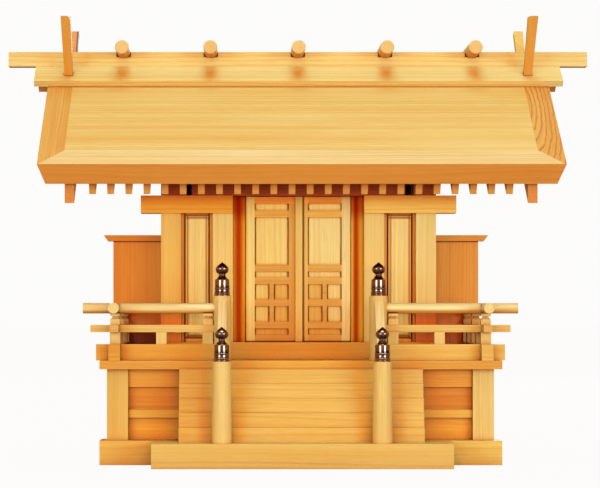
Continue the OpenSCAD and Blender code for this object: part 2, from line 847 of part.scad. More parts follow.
// Underside of a row of panels, counted from the top
function row_low(row) =
    door_z[1] - (row + 1) * door_rail_h - sum_of(door_row_shares, row + 1) * door_clear_h;

// The clear openings of a door, through a depth, narrowed by a slit on both sides
module door_openings(y, slit) {
    x = [pivot_stile_w + slit, pivot_stile_w + door_clear_w - slit];
    middle = pivot_stile_w + door_clear_w / 2;
    for (row = [0:door_rows - 1]) {
        z = [row_low(row), row_low(row) + door_row_shares[row] * door_clear_h];
        if (row >= split_rows[0] && row <= split_rows[1]) {
            span([x[0], middle - muntin_w / 2 - slit], y, z);
            span([middle + muntin_w / 2 + slit, x[1]], y, z);
        } else {
            span(x, y, z);
        }
    }
}

// A leaf with its front pivot edge rounded about the pivot, and its two pivots
module door_frame(width) {
    difference() {
        union() {
            span([pivot_edge, width], [door_y, door_y + door_t], door_z);
            span([0, pivot_edge], [pivot_y, door_y + door_t], door_z);
            translate([pivot_edge, pivot_y, door_z[0]]) cylinder(r = pivot_edge, h = door_h);
        }
        door_openings([door_y - over, door_y + door_t + over], 0);
    }
    translate([pivot_edge, pivot_y, hall_sill_top - pivot_l + door_gap])
        cylinder(r = pivot_r, h = pivot_l);
    translate([pivot_edge, pivot_y, door_z[1]])
        cylinder(r = pivot_r, h = pivot_l);
}

module door_panel_set() {
    y = door_y + door_panel_recess;
    door_openings([y, y + door_panel_t], door_panel_slit);
}

module at_left_door() {
    translate([door_gap - jamb_in_x, 0, 0]) children();
}

module at_right_door() {
    mirror([1, 0, 0]) at_left_door() children();
}

module left_door() {
    color(wood_pale) at_left_door() door_frame(left_door_w);
}

module left_door_panels() {
    color(wood) at_left_door() door_panel_set();
}

module meeting_strip() {
    color(wood_pale)
        at_left_door()
            span([left_door_w - meeting_strip_w, left_door_w], [door_y - meeting_strip_t, door_y], door_z);
}

module right_door() {
    color(wood_pale) at_right_door() door_frame(right_door_w);
}

module right_door_panels() {
    color(wood) at_right_door() door_panel_set();
}

// Roof: beams, rafters, boards with a mitred border, and bargeboards

// A wall plate with its top cut to the slope of the rafters
module wall_plate(outer, inner) {
    polygon([[outer, under_rafters(outer) - plate_h], [inner, under_rafters(outer) - plate_h],
             [inner, under_rafters(inner)], [outer, under_rafters(outer)]]);
}

module roof_beams() {
    low = under_boards(purlin_w / 2) - purlin_h;
    side = under_boards(purlin_w / 2);
    across = [-barge_in_x, barge_in_x];
    color(wood)
        translate([0, ridge_y, 0]) {
            run_x(across) mirror([1, 0]) wall_plate(hall_front, hall_front - plate_w);
            run_x([-hall_x, hall_x]) wall_plate(hall_back, hall_back - plate_w);
            run_x(across)
                polygon([[-purlin_w / 2, low], [purlin_w / 2, low], [purlin_w / 2, side],
                         [0, under_boards(0)], [-purlin_w / 2, side]]);
        }
}

// Rafters from the ridge purlin to just short of an eave
module rafters(eave) {
    end = down_slope(eave, 0) - rafter_setback;
    for (i = [1:rafter_count]) {
        x = i * rafter_spacing - barge_in_x;
        run_x([x - rafter_w / 2, x + rafter_w / 2])
            polygon([[down_slope(purlin_w / 2, roof_t), -roof_t], [end, -roof_t], [end, -cover],
                     [down_slope(purlin_w / 2, cover), -cover]]);
    }
}

module front_rafters() {
    color(wood_shade) on_front_slope() rafters(eave_front);
}

module back_rafters() {
    color(wood_shade) on_back_slope() rafters(eave_back);
}

// The whole roof slab on one side: plumb at the ridge, verges leaning in towards the underside
module roof_slab(eave) {
    length = down_slope(eave, 0);
    intersection() {
        run_x([-verge_x, verge_x])
            polygon([[0, 0], [length, 0], [length, -roof_t], [down_slope(0, roof_t), -roof_t]]);
        rotate([-90, 0, 0])
            linear_extrude(length)
                polygon([[-verge_x, 0], [verge_x, 0], [verge_x - verge_lean, roof_t], [verge_lean - verge_x, roof_t]]);
    }
}

// The part of a roof slab inside an outline drawn on the roof plane
module roof_piece(eave) {
    intersection() {
        roof_slab(eave);
        translate([0, 0, -roof_t - over])
            linear_extrude(roof_t + 2 * over) children();
    }
}

module main_board(eave) {
    length = down_slope(eave, 0) - border_w;
    inner_x = verge_x - border_w;
    roof_piece(eave) translate([-inner_x, -over]) square([2 * inner_x, length + over]);
}

// The mitre runs from the main board's corner to a toe just inside the corner of the roof
function mitre_start(eave) = [verge_x - border_w, down_slope(eave, 0) - border_w];
function mitre_end(eave) =
    mitre_start(eave) + [border_w - mitre_toe, border_w] * (border_w + over) / border_w;

// Eave board, mitred to the verge boards at both ends
module eave_board(eave) {
    inner = mitre_start(eave);
    outer = mitre_end(eave);
    roof_piece(eave)
        polygon([[-inner[0], inner[1]], inner, outer, [-outer[0], outer[1]]]);
}

module verge_board(eave) {
    inner = mitre_start(eave);
    outer = mitre_end(eave);
    roof_piece(eave)
        polygon([[inner[0], -over], [verge_x + over, -over], [verge_x + over, outer[1]], outer, inner]);
}

module front_roof_board() {
    color(wood) on_front_slope() main_board(eave_front);
}

module back_roof_board() {
    color(wood) on_back_slope() main_board(eave_back);
}

module eave_boards() {
    color(wood_pale) {
        on_front_slope() eave_board(eave_front);
        on_back_slope() eave_board(eave_back);
    }
}

module front_verge_boards() {
    color(wood_shade) on_front_slope() both_sides() verge_board(eave_front);
}

module back_verge_boards() {
    color(wood_shade) on_back_slope() both_sides() verge_board(eave_back);
}

// Bargeboard under the roof slab, plumb at the ridge and at its foot
module bargeboard(eave) {
    foot = eave - barge_setback;
    low = roof_t + barge_h;
    run_x([barge_in_x, barge_in_x + barge_t])
        polygon([[down_slope(0, roof_t), -roof_t], [down_slope(foot, roof_t), -roof_t],
                 [down_slope(foot, low), -low], [down_slope(0, low), -low]]);
}

module front_bargeboards() {
    color(wood_shade) on_front_slope() both_sides() bargeboard(eave_front);
}

module back_bargeboards() {
    color(wood_shade) on_back_slope() both_sides() bargeboard(eave_back);
}

// Ridge: boards on both slopes, a beam with logs let into it, and finials through the boards

// A finial stands square to the roof, is cut level at its tip and loses its inner corner
module finial() {
    foot = finial_foot_w / 2;
    tip = finial_tip_w / 2;
    corner_w = 0.28 * finial_tip_w;
    corner_h = 0.07 * finial_l;
    level_cut = finial_t * tan(roof_pitch);
    translate([finial_x, finial_run, 0])
        difference() {
            translate([0, finial_t / 2, 0])
                rotate([90, 0, 0])
                    linear_extrude(finial_t)
                        polygon([[-foot, 0], [foot, 0], [tip, finial_l], [corner_w - tip, finial_l],
                                 [-tip, finial_l - corner_h]]);
            run_x([-finial_tip_w, finial_tip_w])
                polygon([[-finial_t / 2 - over, finial_l - level_cut - over * tan(roof_pitch)],
                         [finial_t / 2 + over, finial_l + over * tan(roof_pitch)],
                         [finial_t / 2 + over, finial_l + finial_t], [-finial_t / 2 - over, finial_l + finial_t]]);
        }
}

module finials() {
    color(wood) {
        on_front_slope() both_sides() finial();
        on_back_slope() both_sides() finial();
    }
}

// Board that covers the ridge on one slope, with mortises for two finials
module ridge_board() {
    end = down_slope(ridge_board_run, 0);
    mortise_w = finial_foot_w + (finial_tip_w - finial_foot_w) * ridge_board_t / finial_l;
    half_w = mortise_w / 2 + finial_gap;
    half_t = finial_t / 2 + finial_gap;
    difference() {
        run_x([-ridge_board_x, ridge_board_x])
            polygon([[0, 0], [end, 0], [end, ridge_board_t], [down_slope(0, -ridge_board_t), ridge_board_t]]);
        both_sides()
            span([finial_x - half_w, finial_x + half_w], [finial_run - half_t, finial_run + half_t],
                 [-over, ridge_board_t + over]);
    }
}

module front_ridge_board() {
    color(wood_pale) on_front_slope() ridge_board();
}

module back_ridge_board() {
    color(wood_pale) on_back_slope() ridge_board();
}

module ridge_log(x) {
    translate([x, ridge_y, log_z])
        rotate([90, 0, 0]) {
            cylinder(d = log_d, h = log_l - 2 * log_bevel, center = true);
            for (side = [0, 1])
                mirror([0, 0, side])
                    translate([0, 0, log_l / 2 - log_bevel])
                        cylinder(d1 = log_d, d2 = log_d - 2 * log_bevel, h = log_bevel);
        }
}

module ridge_logs() {
    color(wood_pale)
        for (i = [0:log_count - 1])
            ridge_log((i - (log_count - 1) / 2) * log_spacing);
}

// A round bed for a log across the beam, with a square housing in both faces of the beam
module log_notch(half) {
    side = log_d / 2 + log_gap;
    translate([0, 0, log_z])
        rotate([90, 0, 0]) cylinder(d = log_d, h = 2 * (half + over), center = true);
    for (face = [0, 1])
        mirror([0, face, 0])
            span([-side, side], [half - log_housing, half + over],
                 [ridge_beam_top - log_seat + log_bed, ridge_beam_top + over]);
}

// The beam straddles the ridge boards with a groove and is notched for the logs
module ridge_beam() {
    half = ridge_beam_w / 2;
    groove = half + over;
    color(wood_pale)
        difference() {
            span([-ridge_beam_x, ridge_beam_x], [ridge_y - half, ridge_y + half], [ridge_beam_low, ridge_beam_top]);
            translate([0, ridge_y, 0])
                run_x([-ridge_board_x, ridge_board_x])
                    polygon([[-groove, over_ridge_boards(groove)], [groove, over_ridge_boards(groove)],
                             [0, over_ridge_boards(0)]]);
            for (i = [0:log_count - 1])
                translate([(i - (log_count - 1) / 2) * log_spacing, ridge_y, 0])
                    log_notch(half);
        }
}

front_step();
end_sills();
side_sills();
base_posts();
base_rails();
base_panels();
veranda_floor();
stair_step(1);  // stair_step_1
stair_step(2);  // stair_step_2
stair_step(3);  // stair_step_3
stair_step(4);  // stair_step_4
stair_step(5);  // stair_step_5
front_rails();
side_rails();
rail_struts();
upper_newels();
lower_newels();
newel_caps();
stair_handrails();
hall_sill();
hall_pillars();
head_beams();
bay_boards();
bay_panels();
door_jambs();
door_lintel();
upper_front_wall();
left_wall();
right_wall();
back_wall();
wing_screens();
wing_caps();
left_door();
left_door_panels();
meeting_strip();
right_door();
right_door_panels();
roof_beams();
front_rafters();
back_rafters();
front_roof_board();
back_roof_board();
eave_boards();
front_verge_boards();
back_verge_boards();
front_bargeboards();
back_bargeboards();
front_ridge_board();
back_ridge_board();
ridge_beam();
ridge_logs();
finials();
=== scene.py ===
import math

import bpy
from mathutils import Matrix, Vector


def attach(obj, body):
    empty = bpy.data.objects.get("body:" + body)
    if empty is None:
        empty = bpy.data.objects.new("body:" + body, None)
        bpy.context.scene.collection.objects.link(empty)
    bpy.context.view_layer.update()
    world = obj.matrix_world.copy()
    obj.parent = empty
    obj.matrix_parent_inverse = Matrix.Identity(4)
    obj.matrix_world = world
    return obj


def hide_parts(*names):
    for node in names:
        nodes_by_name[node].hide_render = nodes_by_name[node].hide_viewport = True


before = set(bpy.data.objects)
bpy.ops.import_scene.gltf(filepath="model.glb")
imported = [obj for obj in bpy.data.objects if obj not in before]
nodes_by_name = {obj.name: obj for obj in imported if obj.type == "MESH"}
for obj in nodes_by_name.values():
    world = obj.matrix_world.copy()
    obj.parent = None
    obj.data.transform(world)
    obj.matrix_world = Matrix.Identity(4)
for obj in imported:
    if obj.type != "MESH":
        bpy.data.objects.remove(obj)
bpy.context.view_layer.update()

scene = bpy.context.scene

# Places and sizes are in millimetres, and the stage and the lamps in metres
MM = 0.001
FAR = 1000.0

# Axes of the boards
ROOF_PITCH = math.radians(36.6)
RUN, RISE = math.cos(ROOF_PITCH), math.sin(ROOF_PITCH)
HANDRAIL_RUN, HANDRAIL_RISE = 46.1, 63.6
X_AXIS = Vector((1, 0, 0))
Y_AXIS = Vector((0, 1, 0))
Z_AXIS = Vector((0, 0, 1))
FRONT_SLOPE = Vector((0, -RUN, -RISE))
BACK_SLOPE = Vector((0, RUN, -RISE))
FRONT_NORMAL = Vector((0, -RISE, RUN))
HANDRAIL = Vector((0, HANDRAIL_RUN, HANDRAIL_RISE)).normalized()

# Linear base colours of the cypress boards; the deepest ones (DEEP, RUST, EMBER, CHESTNUT, OXBLOOD) go to
# boards that lie in shade and are partly painted shade
PALE = (0.71, 0.575, 0.235)
STRAW = (0.72, 0.585, 0.20)
CREAM = (0.81, 0.61, 0.177)
CYPRESS = (0.69, 0.52, 0.15)
HONEY = (0.70, 0.49, 0.115)
WARM = (0.64, 0.37, 0.066)
GOLD = (0.88, 0.50, 0.07)
RUST = (0.90, 0.40, 0.022)
DEEP = (0.80, 0.37, 0.042)
EMBER = (0.735, 0.37, 0.038)
TAWNY = (0.645, 0.335, 0.038)
CHESTNUT = (0.61, 0.25, 0.029)
OXBLOOD = (0.52, 0.09, 0.012)

# Multipliers of a board's tone for its figure
LATE_WOOD = (0.84, 0.58, 0.30)
BROAD_BAND = (0.92, 0.74, 0.48)
FIBRE = (0.82, 0.64, 0.40)
CLOUD = (1.04, 1.12, 1.35)
NEXT_BOARD = (0.93, 0.80, 0.60)
ARC_LINE = (0.72, 0.36, 0.20)
END_GRAIN = (0.95, 0.85, 0.74)

# Painted shade: multipliers for undersides, inner corners, seams and sheltered places, and how far those
# reach
UNDERSIDE = (0.96, 0.53, 0.19)
CORNER = (0.78, 0.44, 0.20)
SEAM = (0.50, 0.24, 0.14)
SHELTER = (0.97, 0.82, 0.62)
HOLLOW = (0.34, 0.17, 0.09)
CORNER_REACH = 3.5
SEAM_REACH = 1.6
SHELTER_REACH = 70.0
REACH_SAMPLES = 4

# Noise scales of the figure, per metre along and across the grain
WANDER_ALONG, WANDER_ACROSS = 2.6, 10.0
FIBRE_ALONG, FIBRE_ACROSS = 45.0, 1100.0
CLOUD_ALONG, CLOUD_ACROSS = 5.0, 22.0
RIPPLE_ALONG, RIPPLE_ACROSS = 70.0, 190.0
GROWTH_SCALE, BROAD_SCALE = 430.0, 75.0

# Levels at which a look starts to show and shows in full, and the most that it shows
GROWTH_SHOWS, GROWTH_SHARE = (0.48, 0.68), 0.85
BROAD_SHOWS, BROAD_SHARE = (0.40, 0.66), 0.65
FIBRE_SHOWS, FIBRE_SHARE = (0.42, 0.75), 0.60
CLOUD_SHOWS, CLOUD_SHARE = (0.40, 0.72), 0.40
BOARD_SHARE = 0.30
ARC_SHOWS, ARC_ENDS = (0.60, 0.93), (1.0, 0.95)
END_SHOWS, BELOW_SHOWS = (0.75, 0.95), (0.15, 0.6)
CORNER_SHOWS, SEAM_SHOWS = (0.85, 0.25), (0.75, 0.40)
SHELTER_SHOWS, HOLLOW_SHOWS = (0.9, 0.35), (0.42, 0.14)

# How far the rings wander and ripple, how far boards lie apart in the noise, and the planed surface
WANDER_SHARE, RIPPLE_SHARE = 0.03, 0.8
BOARD_SHIFT, CELL_SHIFT = 3.0, (100.5, 100.5, 100.5)
NOISE_MIDDLE, NOISE_BODY = 0.5, (0.3, 0.7)
GROWTH_RELIEF, FIBRE_RELIEF = 0.6, 0.5
BUMP_STRENGTH, BUMP_DEPTH = 0.12, 0.6
WOOD_ROUGH = (0.42, 0.58)

# Bronze of the newel caps
PATINA, POLISHED = (0.045, 0.018, 0.012), (0.38, 0.21, 0.14)
STAIN_SCALE, STAIN_SHARE, WORN_SHOWS = 420.0, 0.5, (0.25, 0.75)
BRONZE_ROUGH = (0.06, 0.15)


class Graph:
    """Short calls that add shader nodes to one node tree."""

    def __init__(self, tree):
        self.tree = tree
        self.tree.nodes.clear()

    def node(self, kind, inputs=(), **settings):
        made = self.tree.nodes.new(kind)
        for key, value in settings.items():
            setattr(made, key, value)
        for key, value in dict(inputs).items():
            self.feed(made.inputs[key], value)
        return made

    def feed(self, socket, value):
        if isinstance(value, bpy.types.NodeSocket):
            self.tree.links.new(value, socket)
        else:
            socket.default_value = value

    def math(self, operation, first, second=0.0, third=0.0):
        made = self.node("ShaderNodeMath", operation=operation)
        for socket, value in zip(made.inputs, (first, second, third)):
            self.feed(socket, value)
        return made.outputs[0]

    def dot(self, vector, axis):
        made = self.node("ShaderNodeVectorMath", operation="DOT_PRODUCT")
        self.feed(made.inputs[0], vector)
        self.feed(made.inputs[1], tuple(axis))
        return made.outputs["Value"]

    def combine(self, x, y, z):
        return self.node("ShaderNodeCombineXYZ", {"X": x, "Y": y, "Z": z}).outputs[0]

    def noise(self, vector, scale, detail, rough):
        made = self.node("ShaderNodeTexNoise", {"Vector": vector, "Scale": scale, "Detail": detail,
                                                "Roughness": rough})
        return made.outputs["Fac"]

    def noise_1d(self, value, scale, detail, rough):
        made = self.node("ShaderNodeTexNoise", noise_dimensions="1D")
        for key, given in (("W", value), ("Scale", scale), ("Detail", detail), ("Roughness", rough)):
            self.feed(made.inputs[key], given)
        return made.outputs["Fac"]

    def spread(self, value, low, high, to_low=0.0, to_high=1.0):
        made = self.node("ShaderNodeMapRange", {"Value": value, "From Min": low, "From Max": high,
                                                "To Min": to_low, "To Max": to_high})
        return made.outputs[0]

    def mix(self, factor, first, second, blend="MIX"):
        made = self.node("ShaderNodeMix", data_type="RGBA", blend_type=blend)
        self.feed(made.inputs[0], factor)
        self.feed(made.inputs[6], first)
        self.feed(made.inputs[7], second)
        return made.outputs[2]

    def tinted(self, factor, color, tint):
        """The colour, multiplied by a tint to the extent of the factor."""
        return self.mix(factor, color, self.mix(1.0, color, rgba(tint), "MULTIPLY"))

    def open_share(self, reach):
        """One in the open, and less the more of the space within reach is filled."""
        made = self.node("ShaderNodeAmbientOcclusion", {"Distance": reach * MM}, samples=REACH_SAMPLES)
        return made.outputs["AO"]


def rgba(color):
    return (*color, 1.0)


def scaled(color, by):
    return tuple(c * f for c, f in zip(color, by))


def new_material(name):
    material = bpy.data.materials.new(name)
    material.use_nodes = True
    return material, Graph(material.node_tree)


def cross_axes(grain):
    """Two axes across the grain: the first as level as it can be."""
    helper = Z_AXIS if abs(grain.dot(Z_AXIS)) < 0.9 else Y_AXIS
    first = grain.cross(helper).normalized()
    return first, grain.cross(first).normalized()


def outside_x(limit):
    """One where a place lies further from the middle than a limit across."""
    def where(graph, place):
        return graph.math("GREATER_THAN", graph.math("ABSOLUTE", graph.dot(place, X_AXIS)), limit * MM)
    return where


def between_x(low, high):
    """One where a place lies between two limits across."""
    def where(graph, place):
        return sharp(graph, graph.dot(place, X_AXIS), low * MM, high * MM)
    return where


def sharp(graph, level, low, high):
    """One between two levels, with hard edges."""
    over = graph.math("GREATER_THAN", level, low)
    return graph.math("MULTIPLY", over, graph.math("LESS_THAN", level, high))


def growing(graph, level, start, full):
    """Zero at the start level and one from the full level on."""
    return graph.spread(level, start, full)


def soft(graph, level, middle, half):
    """One near the middle level, and zero from half a width away."""
    off = graph.math("ABSOLUTE", graph.math("SUBTRACT", level, middle))
    return graph.spread(off, half, 0.25 * half)


def marked(graph, place, color, marks, edge):
    """The colour with each mark's tint where all its (axis, first, last) spans hold."""
    for *spans, tint in marks:
        inside = 1.0
        for axis, first, last in zip(spans[0::3], spans[1::3], spans[2::3]):
            held = edge(graph, graph.dot(place, axis), first * MM, last * MM)
            inside = graph.math("MULTIPLY", inside, held)
        color = graph.tinted(inside, color, tint)
    return color


def board_numbers(graph, place, cell):
    """A number from zero to one for each board, from its cell of board widths."""
    scaler = graph.node("ShaderNodeVectorMath", operation="MULTIPLY_ADD")
    graph.feed(scaler.inputs[0], place)
    graph.feed(scaler.inputs[1], tuple(1.0 / (s * MM) if s else 0.0 for s in cell))
    graph.feed(scaler.inputs[2], CELL_SHIFT)
    floor = graph.node("ShaderNodeVectorMath", operation="FLOOR")
    graph.feed(floor.inputs[0], scaler.outputs[0])
    return graph.node("ShaderNodeTexWhiteNoise", {"Vector": floor.outputs[0]}).outputs["Value"]


def painted_shade(graph, color, normal, under, corner, shelter, hollow):
    """Painted shade: undersides, sheltered places and inner corners get a deeper colour."""
    below = graph.dot(normal, -Z_AXIS)
    near, touch = graph.open_share(CORNER_REACH), graph.open_share(SEAM_REACH)
    open_air = graph.open_share(SHELTER_REACH)
    for level, shows, most, tint in (
            (below, BELOW_SHOWS, under, UNDERSIDE), (near, CORNER_SHOWS, corner, CORNER),
            (touch, SEAM_SHOWS, corner, SEAM), (open_air, SHELTER_SHOWS, shelter, SHELTER),
            (open_air, HOLLOW_SHOWS, hollow, HOLLOW)):
        color = graph.tinted(graph.spread(level, *shows, 0.0, most), color, tint)
    return color


# repeat gives each of a row of logs its own pith, and tilt leans the pith for arched figure
# second is another grain direction, for the places where second_where is one
# cell gives board widths that get tones of their own
# arcs spaces bold rings on the right-hand board
# tints have hard edges, fades grow along an axis, and bands are soft stripes; many of them are painted shade
# or light
# under, corner, shelter and hollow scale the painted shade of undersides, corners and hidden places
def wood(name, grain, tone, seed=0.0, figure=0.35, lines=1.0, pith=(350, 200), repeat=0.0,
         tilt=0.0, tilt_from=0.0, second=None, second_where=None, cell=None, sheen=0.4, arcs=0.0,
         tints=(), fades=(), bands=(), under=1.0, corner=1.0, shelter=1.0, hollow=1.0):
    """Planed cypress with growth rings round a pith line along the grain."""
    material, graph = new_material(name)
    coordinates = graph.node("ShaderNodeTexCoord").outputs
    place, normal = coordinates["Object"], coordinates["Normal"]

    def along(axis):
        across, through = cross_axes(axis)
        return graph.combine(graph.dot(place, axis), graph.dot(place, across), graph.dot(place, through))

    local = along(grain)
    end = graph.math("ABSOLUTE", graph.dot(normal, grain))
    if second is not None:
        where = second_where(graph, place)
        chooser = graph.node("ShaderNodeMix", data_type="VECTOR")
        graph.feed(chooser.inputs[0], where)
        graph.feed(chooser.inputs[4], local)
        graph.feed(chooser.inputs[5], along(second))
        local = chooser.outputs[1]
        other_end = graph.math("ABSOLUTE", graph.dot(normal, second))
        end = graph.math("MULTIPLY_ADD", where, graph.math("SUBTRACT", other_end, end), end)
    g, b, c = graph.node("ShaderNodeSeparateXYZ", {"Vector": local}).outputs

    board = None
    shift = seed
    if cell is not None:
        board = board_numbers(graph, place, cell)
        shift = graph.math("MULTIPLY_ADD", board, BOARD_SHIFT, seed)

    def stretched(scale_along, scale_across, start=0.0):
        return graph.combine(graph.math("MULTIPLY_ADD", g, scale_along, start),
                             graph.math("MULTIPLY", b, scale_across), graph.math("MULTIPLY", c, scale_across))

    # Distance from the pith, with a slow wander of the growth lines along the board
    slow = graph.noise(stretched(WANDER_ALONG, WANDER_ACROSS, shift), 1.0, 2.0, 0.5)
    wander = graph.math("SUBTRACT", slow, NOISE_MIDDLE)
    across = graph.math("SUBTRACT", b, pith[0] * MM)
    if repeat:
        across = graph.math("WRAP", across, repeat * MM / 2, -repeat * MM / 2)
    through = graph.math("SUBTRACT", c, pith[1] * MM)
    if tilt:
        lean = graph.math("SUBTRACT", g, tilt_from * MM)
        through = graph.math("MULTIPLY_ADD", lean, tilt, through)
    radius = graph.math("SQRT", graph.math("ADD", graph.math("MULTIPLY", across, across),
                                           graph.math("MULTIPLY", through, through)))
    radius = graph.math("ADD", graph.math("MULTIPLY_ADD", wander, WANDER_SHARE * figure, radius), shift)

    # Growth lines, broad bands, fine fibre and clouds of paler wood
    growth = graph.noise_1d(radius, GROWTH_SCALE, 3.0, 0.7)
    broad = graph.noise_1d(radius, BROAD_SCALE, 2.0, 0.55)
    fibre = graph.noise(stretched(FIBRE_ALONG, FIBRE_ACROSS), 1.0, 3.0, 0.6)
    cloud = graph.noise(stretched(CLOUD_ALONG, CLOUD_ACROSS, shift), 1.0, 2.0, 0.5)
    color = rgba(tone)
    for factor, look in (
            (graph.spread(growth, *GROWTH_SHOWS, 0.0, min(1.0, GROWTH_SHARE * lines)), LATE_WOOD),
            (graph.spread(broad, *BROAD_SHOWS, 0.0, min(1.0, BROAD_SHARE * lines)), BROAD_BAND),
            (graph.spread(fibre, *FIBRE_SHOWS, 0.0, FIBRE_SHARE), FIBRE),
            (graph.spread(cloud, *CLOUD_SHOWS, 0.0, CLOUD_SHARE), CLOUD)):
        color = graph.mix(factor, color, rgba(scaled(tone, look)))
    if board is not None:
        factor = graph.math("MULTIPLY", board, BOARD_SHARE)
        color = graph.mix(factor, color, rgba(scaled(tone, NEXT_BOARD)))
    if arcs:
        ripple = graph.noise(stretched(RIPPLE_ALONG, RIPPLE_ACROSS), 1.0, 2.0, 0.6)
        ring = graph.math("MULTIPLY_ADD", ripple, RIPPLE_SHARE * arcs * MM, radius)
        turn = graph.math("FRACT", graph.math("DIVIDE", ring, arcs * MM))
        line = graph.math("MULTIPLY", graph.spread(turn, *ARC_SHOWS), graph.spread(turn, *ARC_ENDS))
        right = graph.math("GREATER_THAN", graph.dot(place, X_AXIS), 0.0)
        color = graph.mix(graph.math("MULTIPLY", line, right), color, rgba(scaled(tone, ARC_LINE)))

    # Marks, many of them painted shade or light, then darker end grain, then painted shade in undersides,
    # corners and hidden places
    color = marked(graph, place, color, tints, sharp)
    color = marked(graph, place, color, fades, growing)
    color = marked(graph, place, color, bands, soft)
    color = graph.tinted(graph.spread(end, *END_SHOWS), color, END_GRAIN)
    color = painted_shade(graph, color, normal, under, corner, shelter, hollow)

    fine = graph.math("MULTIPLY", fibre, FIBRE_RELIEF)
    height = graph.math("MULTIPLY_ADD", growth, GROWTH_RELIEF, fine)
    bump = graph.node("ShaderNodeBump", {"Height": height, "Strength": BUMP_STRENGTH,
                                         "Distance": BUMP_DEPTH * MM})
    shader = graph.node("ShaderNodeBsdfPrincipled", {
        "Base Color": color, "Roughness": graph.spread(fibre, *NOISE_BODY, *WOOD_ROUGH),
        "Specular IOR Level": sheen, "Normal": bump.outputs["Normal"]})
    graph.node("ShaderNodeOutputMaterial", {"Surface": shader.outputs[0]})
    return material


def bronze(name):
    """Polished dark bronze with a brown patina in the hollows."""
    material, graph = new_material(name)
    place = graph.node("ShaderNodeTexCoord").outputs["Object"]
    stain = graph.noise(place, STAIN_SCALE, 3.0, 0.6)
    worn = graph.node("ShaderNodeAttribute", attribute_name="worn").outputs["Fac"]
    worn = graph.math("MULTIPLY_ADD", graph.math("SUBTRACT", stain, NOISE_MIDDLE), STAIN_SHARE, worn)
    color = graph.mix(graph.spread(worn, *WORN_SHOWS), rgba(PATINA), rgba(POLISHED))
    shader = graph.node("ShaderNodeBsdfPrincipled", {
        "Base Color": color, "Metallic": 1.0, "Roughness": graph.spread(stain, *NOISE_BODY, *BRONZE_ROUGH)})
    graph.node("ShaderNodeOutputMaterial", {"Surface": shader.outputs[0]})
    return material


def on_left(tint, *spans):
    return (X_AXIS, -FAR, 0, *spans, tint)


def on_right(tint, *spans):
    return (X_AXIS, 0, FAR, *spans, tint)


# Grain direction, tone and figure of every board. The tints below multiply a board's tone, and many of them
# paint shade or light.
BOARDS = {}

# Base: sills, posts, rails and boards under the veranda floor
SIDE_BOARDS_X = 171.5
MIDDLE_RAIL_FOOT, MIDDLE_RAIL_TOP = 40, 70
BASE_BOARD_SPLIT = 55
VERANDA_MIDDLE_HALF = 110
# Painted light and shade: the right sill ends and right posts paler and the left posts deeper as the light
# falls, the middle base rail lighter where light catches it, the upper base boards deeper in shade and the
# lower ones paler
SILL_RIGHT = (1.05, 1.28, 1.6)
POST_LEFT, POST_RIGHT = (0.96, 0.93, 0.82), (1.0, 1.15, 1.55)
MIDDLE_BASE_RAIL = (0.98, 1.23, 1.5)
UPPER_BASE_BOARD, LOWER_BASE_BOARD = (0.94, 0.80, 0.48), (1.17, 1.34, 1.2)
VERANDA_MIDDLE = (1.07, 1.22, 1.4)
BOARDS.update({
    "front_step": dict(grain=X_AXIS, tone=scaled(HONEY, (1.01, 1.09, 1.17))),
    "end_sills": dict(grain=X_AXIS, tone=scaled(HONEY, (1.07, 1.01, 0.80)), figure=0.8,
                      tints=(on_right(SILL_RIGHT),)),
    "side_sills": dict(grain=Y_AXIS, tone=HONEY),
    "base_posts": dict(grain=Z_AXIS, tone=HONEY, cell=(100, 100, 0),
                       tints=(on_left(POST_LEFT), on_right(POST_RIGHT))),
    "base_rails": dict(grain=X_AXIS, tone=EMBER, second=Y_AXIS, second_where=outside_x(SIDE_BOARDS_X),
                       tints=((Z_AXIS, MIDDLE_RAIL_FOOT, MIDDLE_RAIL_TOP, MIDDLE_BASE_RAIL),)),
    "base_panels": dict(grain=X_AXIS, tone=EMBER, second=Y_AXIS, second_where=outside_x(SIDE_BOARDS_X),
                        tints=((Z_AXIS, BASE_BOARD_SPLIT, FAR, UPPER_BASE_BOARD),
                               (Z_AXIS, -FAR, BASE_BOARD_SPLIT, LOWER_BASE_BOARD))),
    "veranda_floor": dict(grain=X_AXIS, tone=TAWNY,
                          bands=((X_AXIS, 0, VERANDA_MIDDLE_HALF, VERANDA_MIDDLE),)),
})

# Stairs, with painted shadows of the newels beside them and painted shade at the left end
STAIRS = 5
OUTER_SHADE_X, OUTER_SHADE_HALF = 94, 9
INNER_SHADE_X, INNER_SHADE_HALF = 64, 15
LEFT_END_START, LEFT_END_FULL = -88, -112
LEFT_END_SHADE = (0.95, 0.80, 0.56)
OUTER_SHADE_LEFT, OUTER_SHADE_RIGHT = (1.0, 0.78, 0.52), (1.0, 0.85, 0.65)
INNER_SHADE_LEFT, INNER_SHADE_RIGHT = (1.08, 0.94, 0.70), (1.06, 0.90, 0.64)
for step in range(1, STAIRS + 1):
    BOARDS["stair_step_%d" % step] = dict(
        grain=X_AXIS, tone=scaled(HONEY, (0.96, 0.94, 0.88)), figure=0.4, lines=0.6, corner=0.1, shelter=0.2,
        fades=((X_AXIS, LEFT_END_START, LEFT_END_FULL, LEFT_END_SHADE),),
        bands=((X_AXIS, -OUTER_SHADE_X, OUTER_SHADE_HALF, OUTER_SHADE_LEFT),
               (X_AXIS, -INNER_SHADE_X, INNER_SHADE_HALF, INNER_SHADE_LEFT),
               (X_AXIS, INNER_SHADE_X, INNER_SHADE_HALF, INNER_SHADE_RIGHT),
               (X_AXIS, OUTER_SHADE_X, OUTER_SHADE_HALF, OUTER_SHADE_RIGHT)))

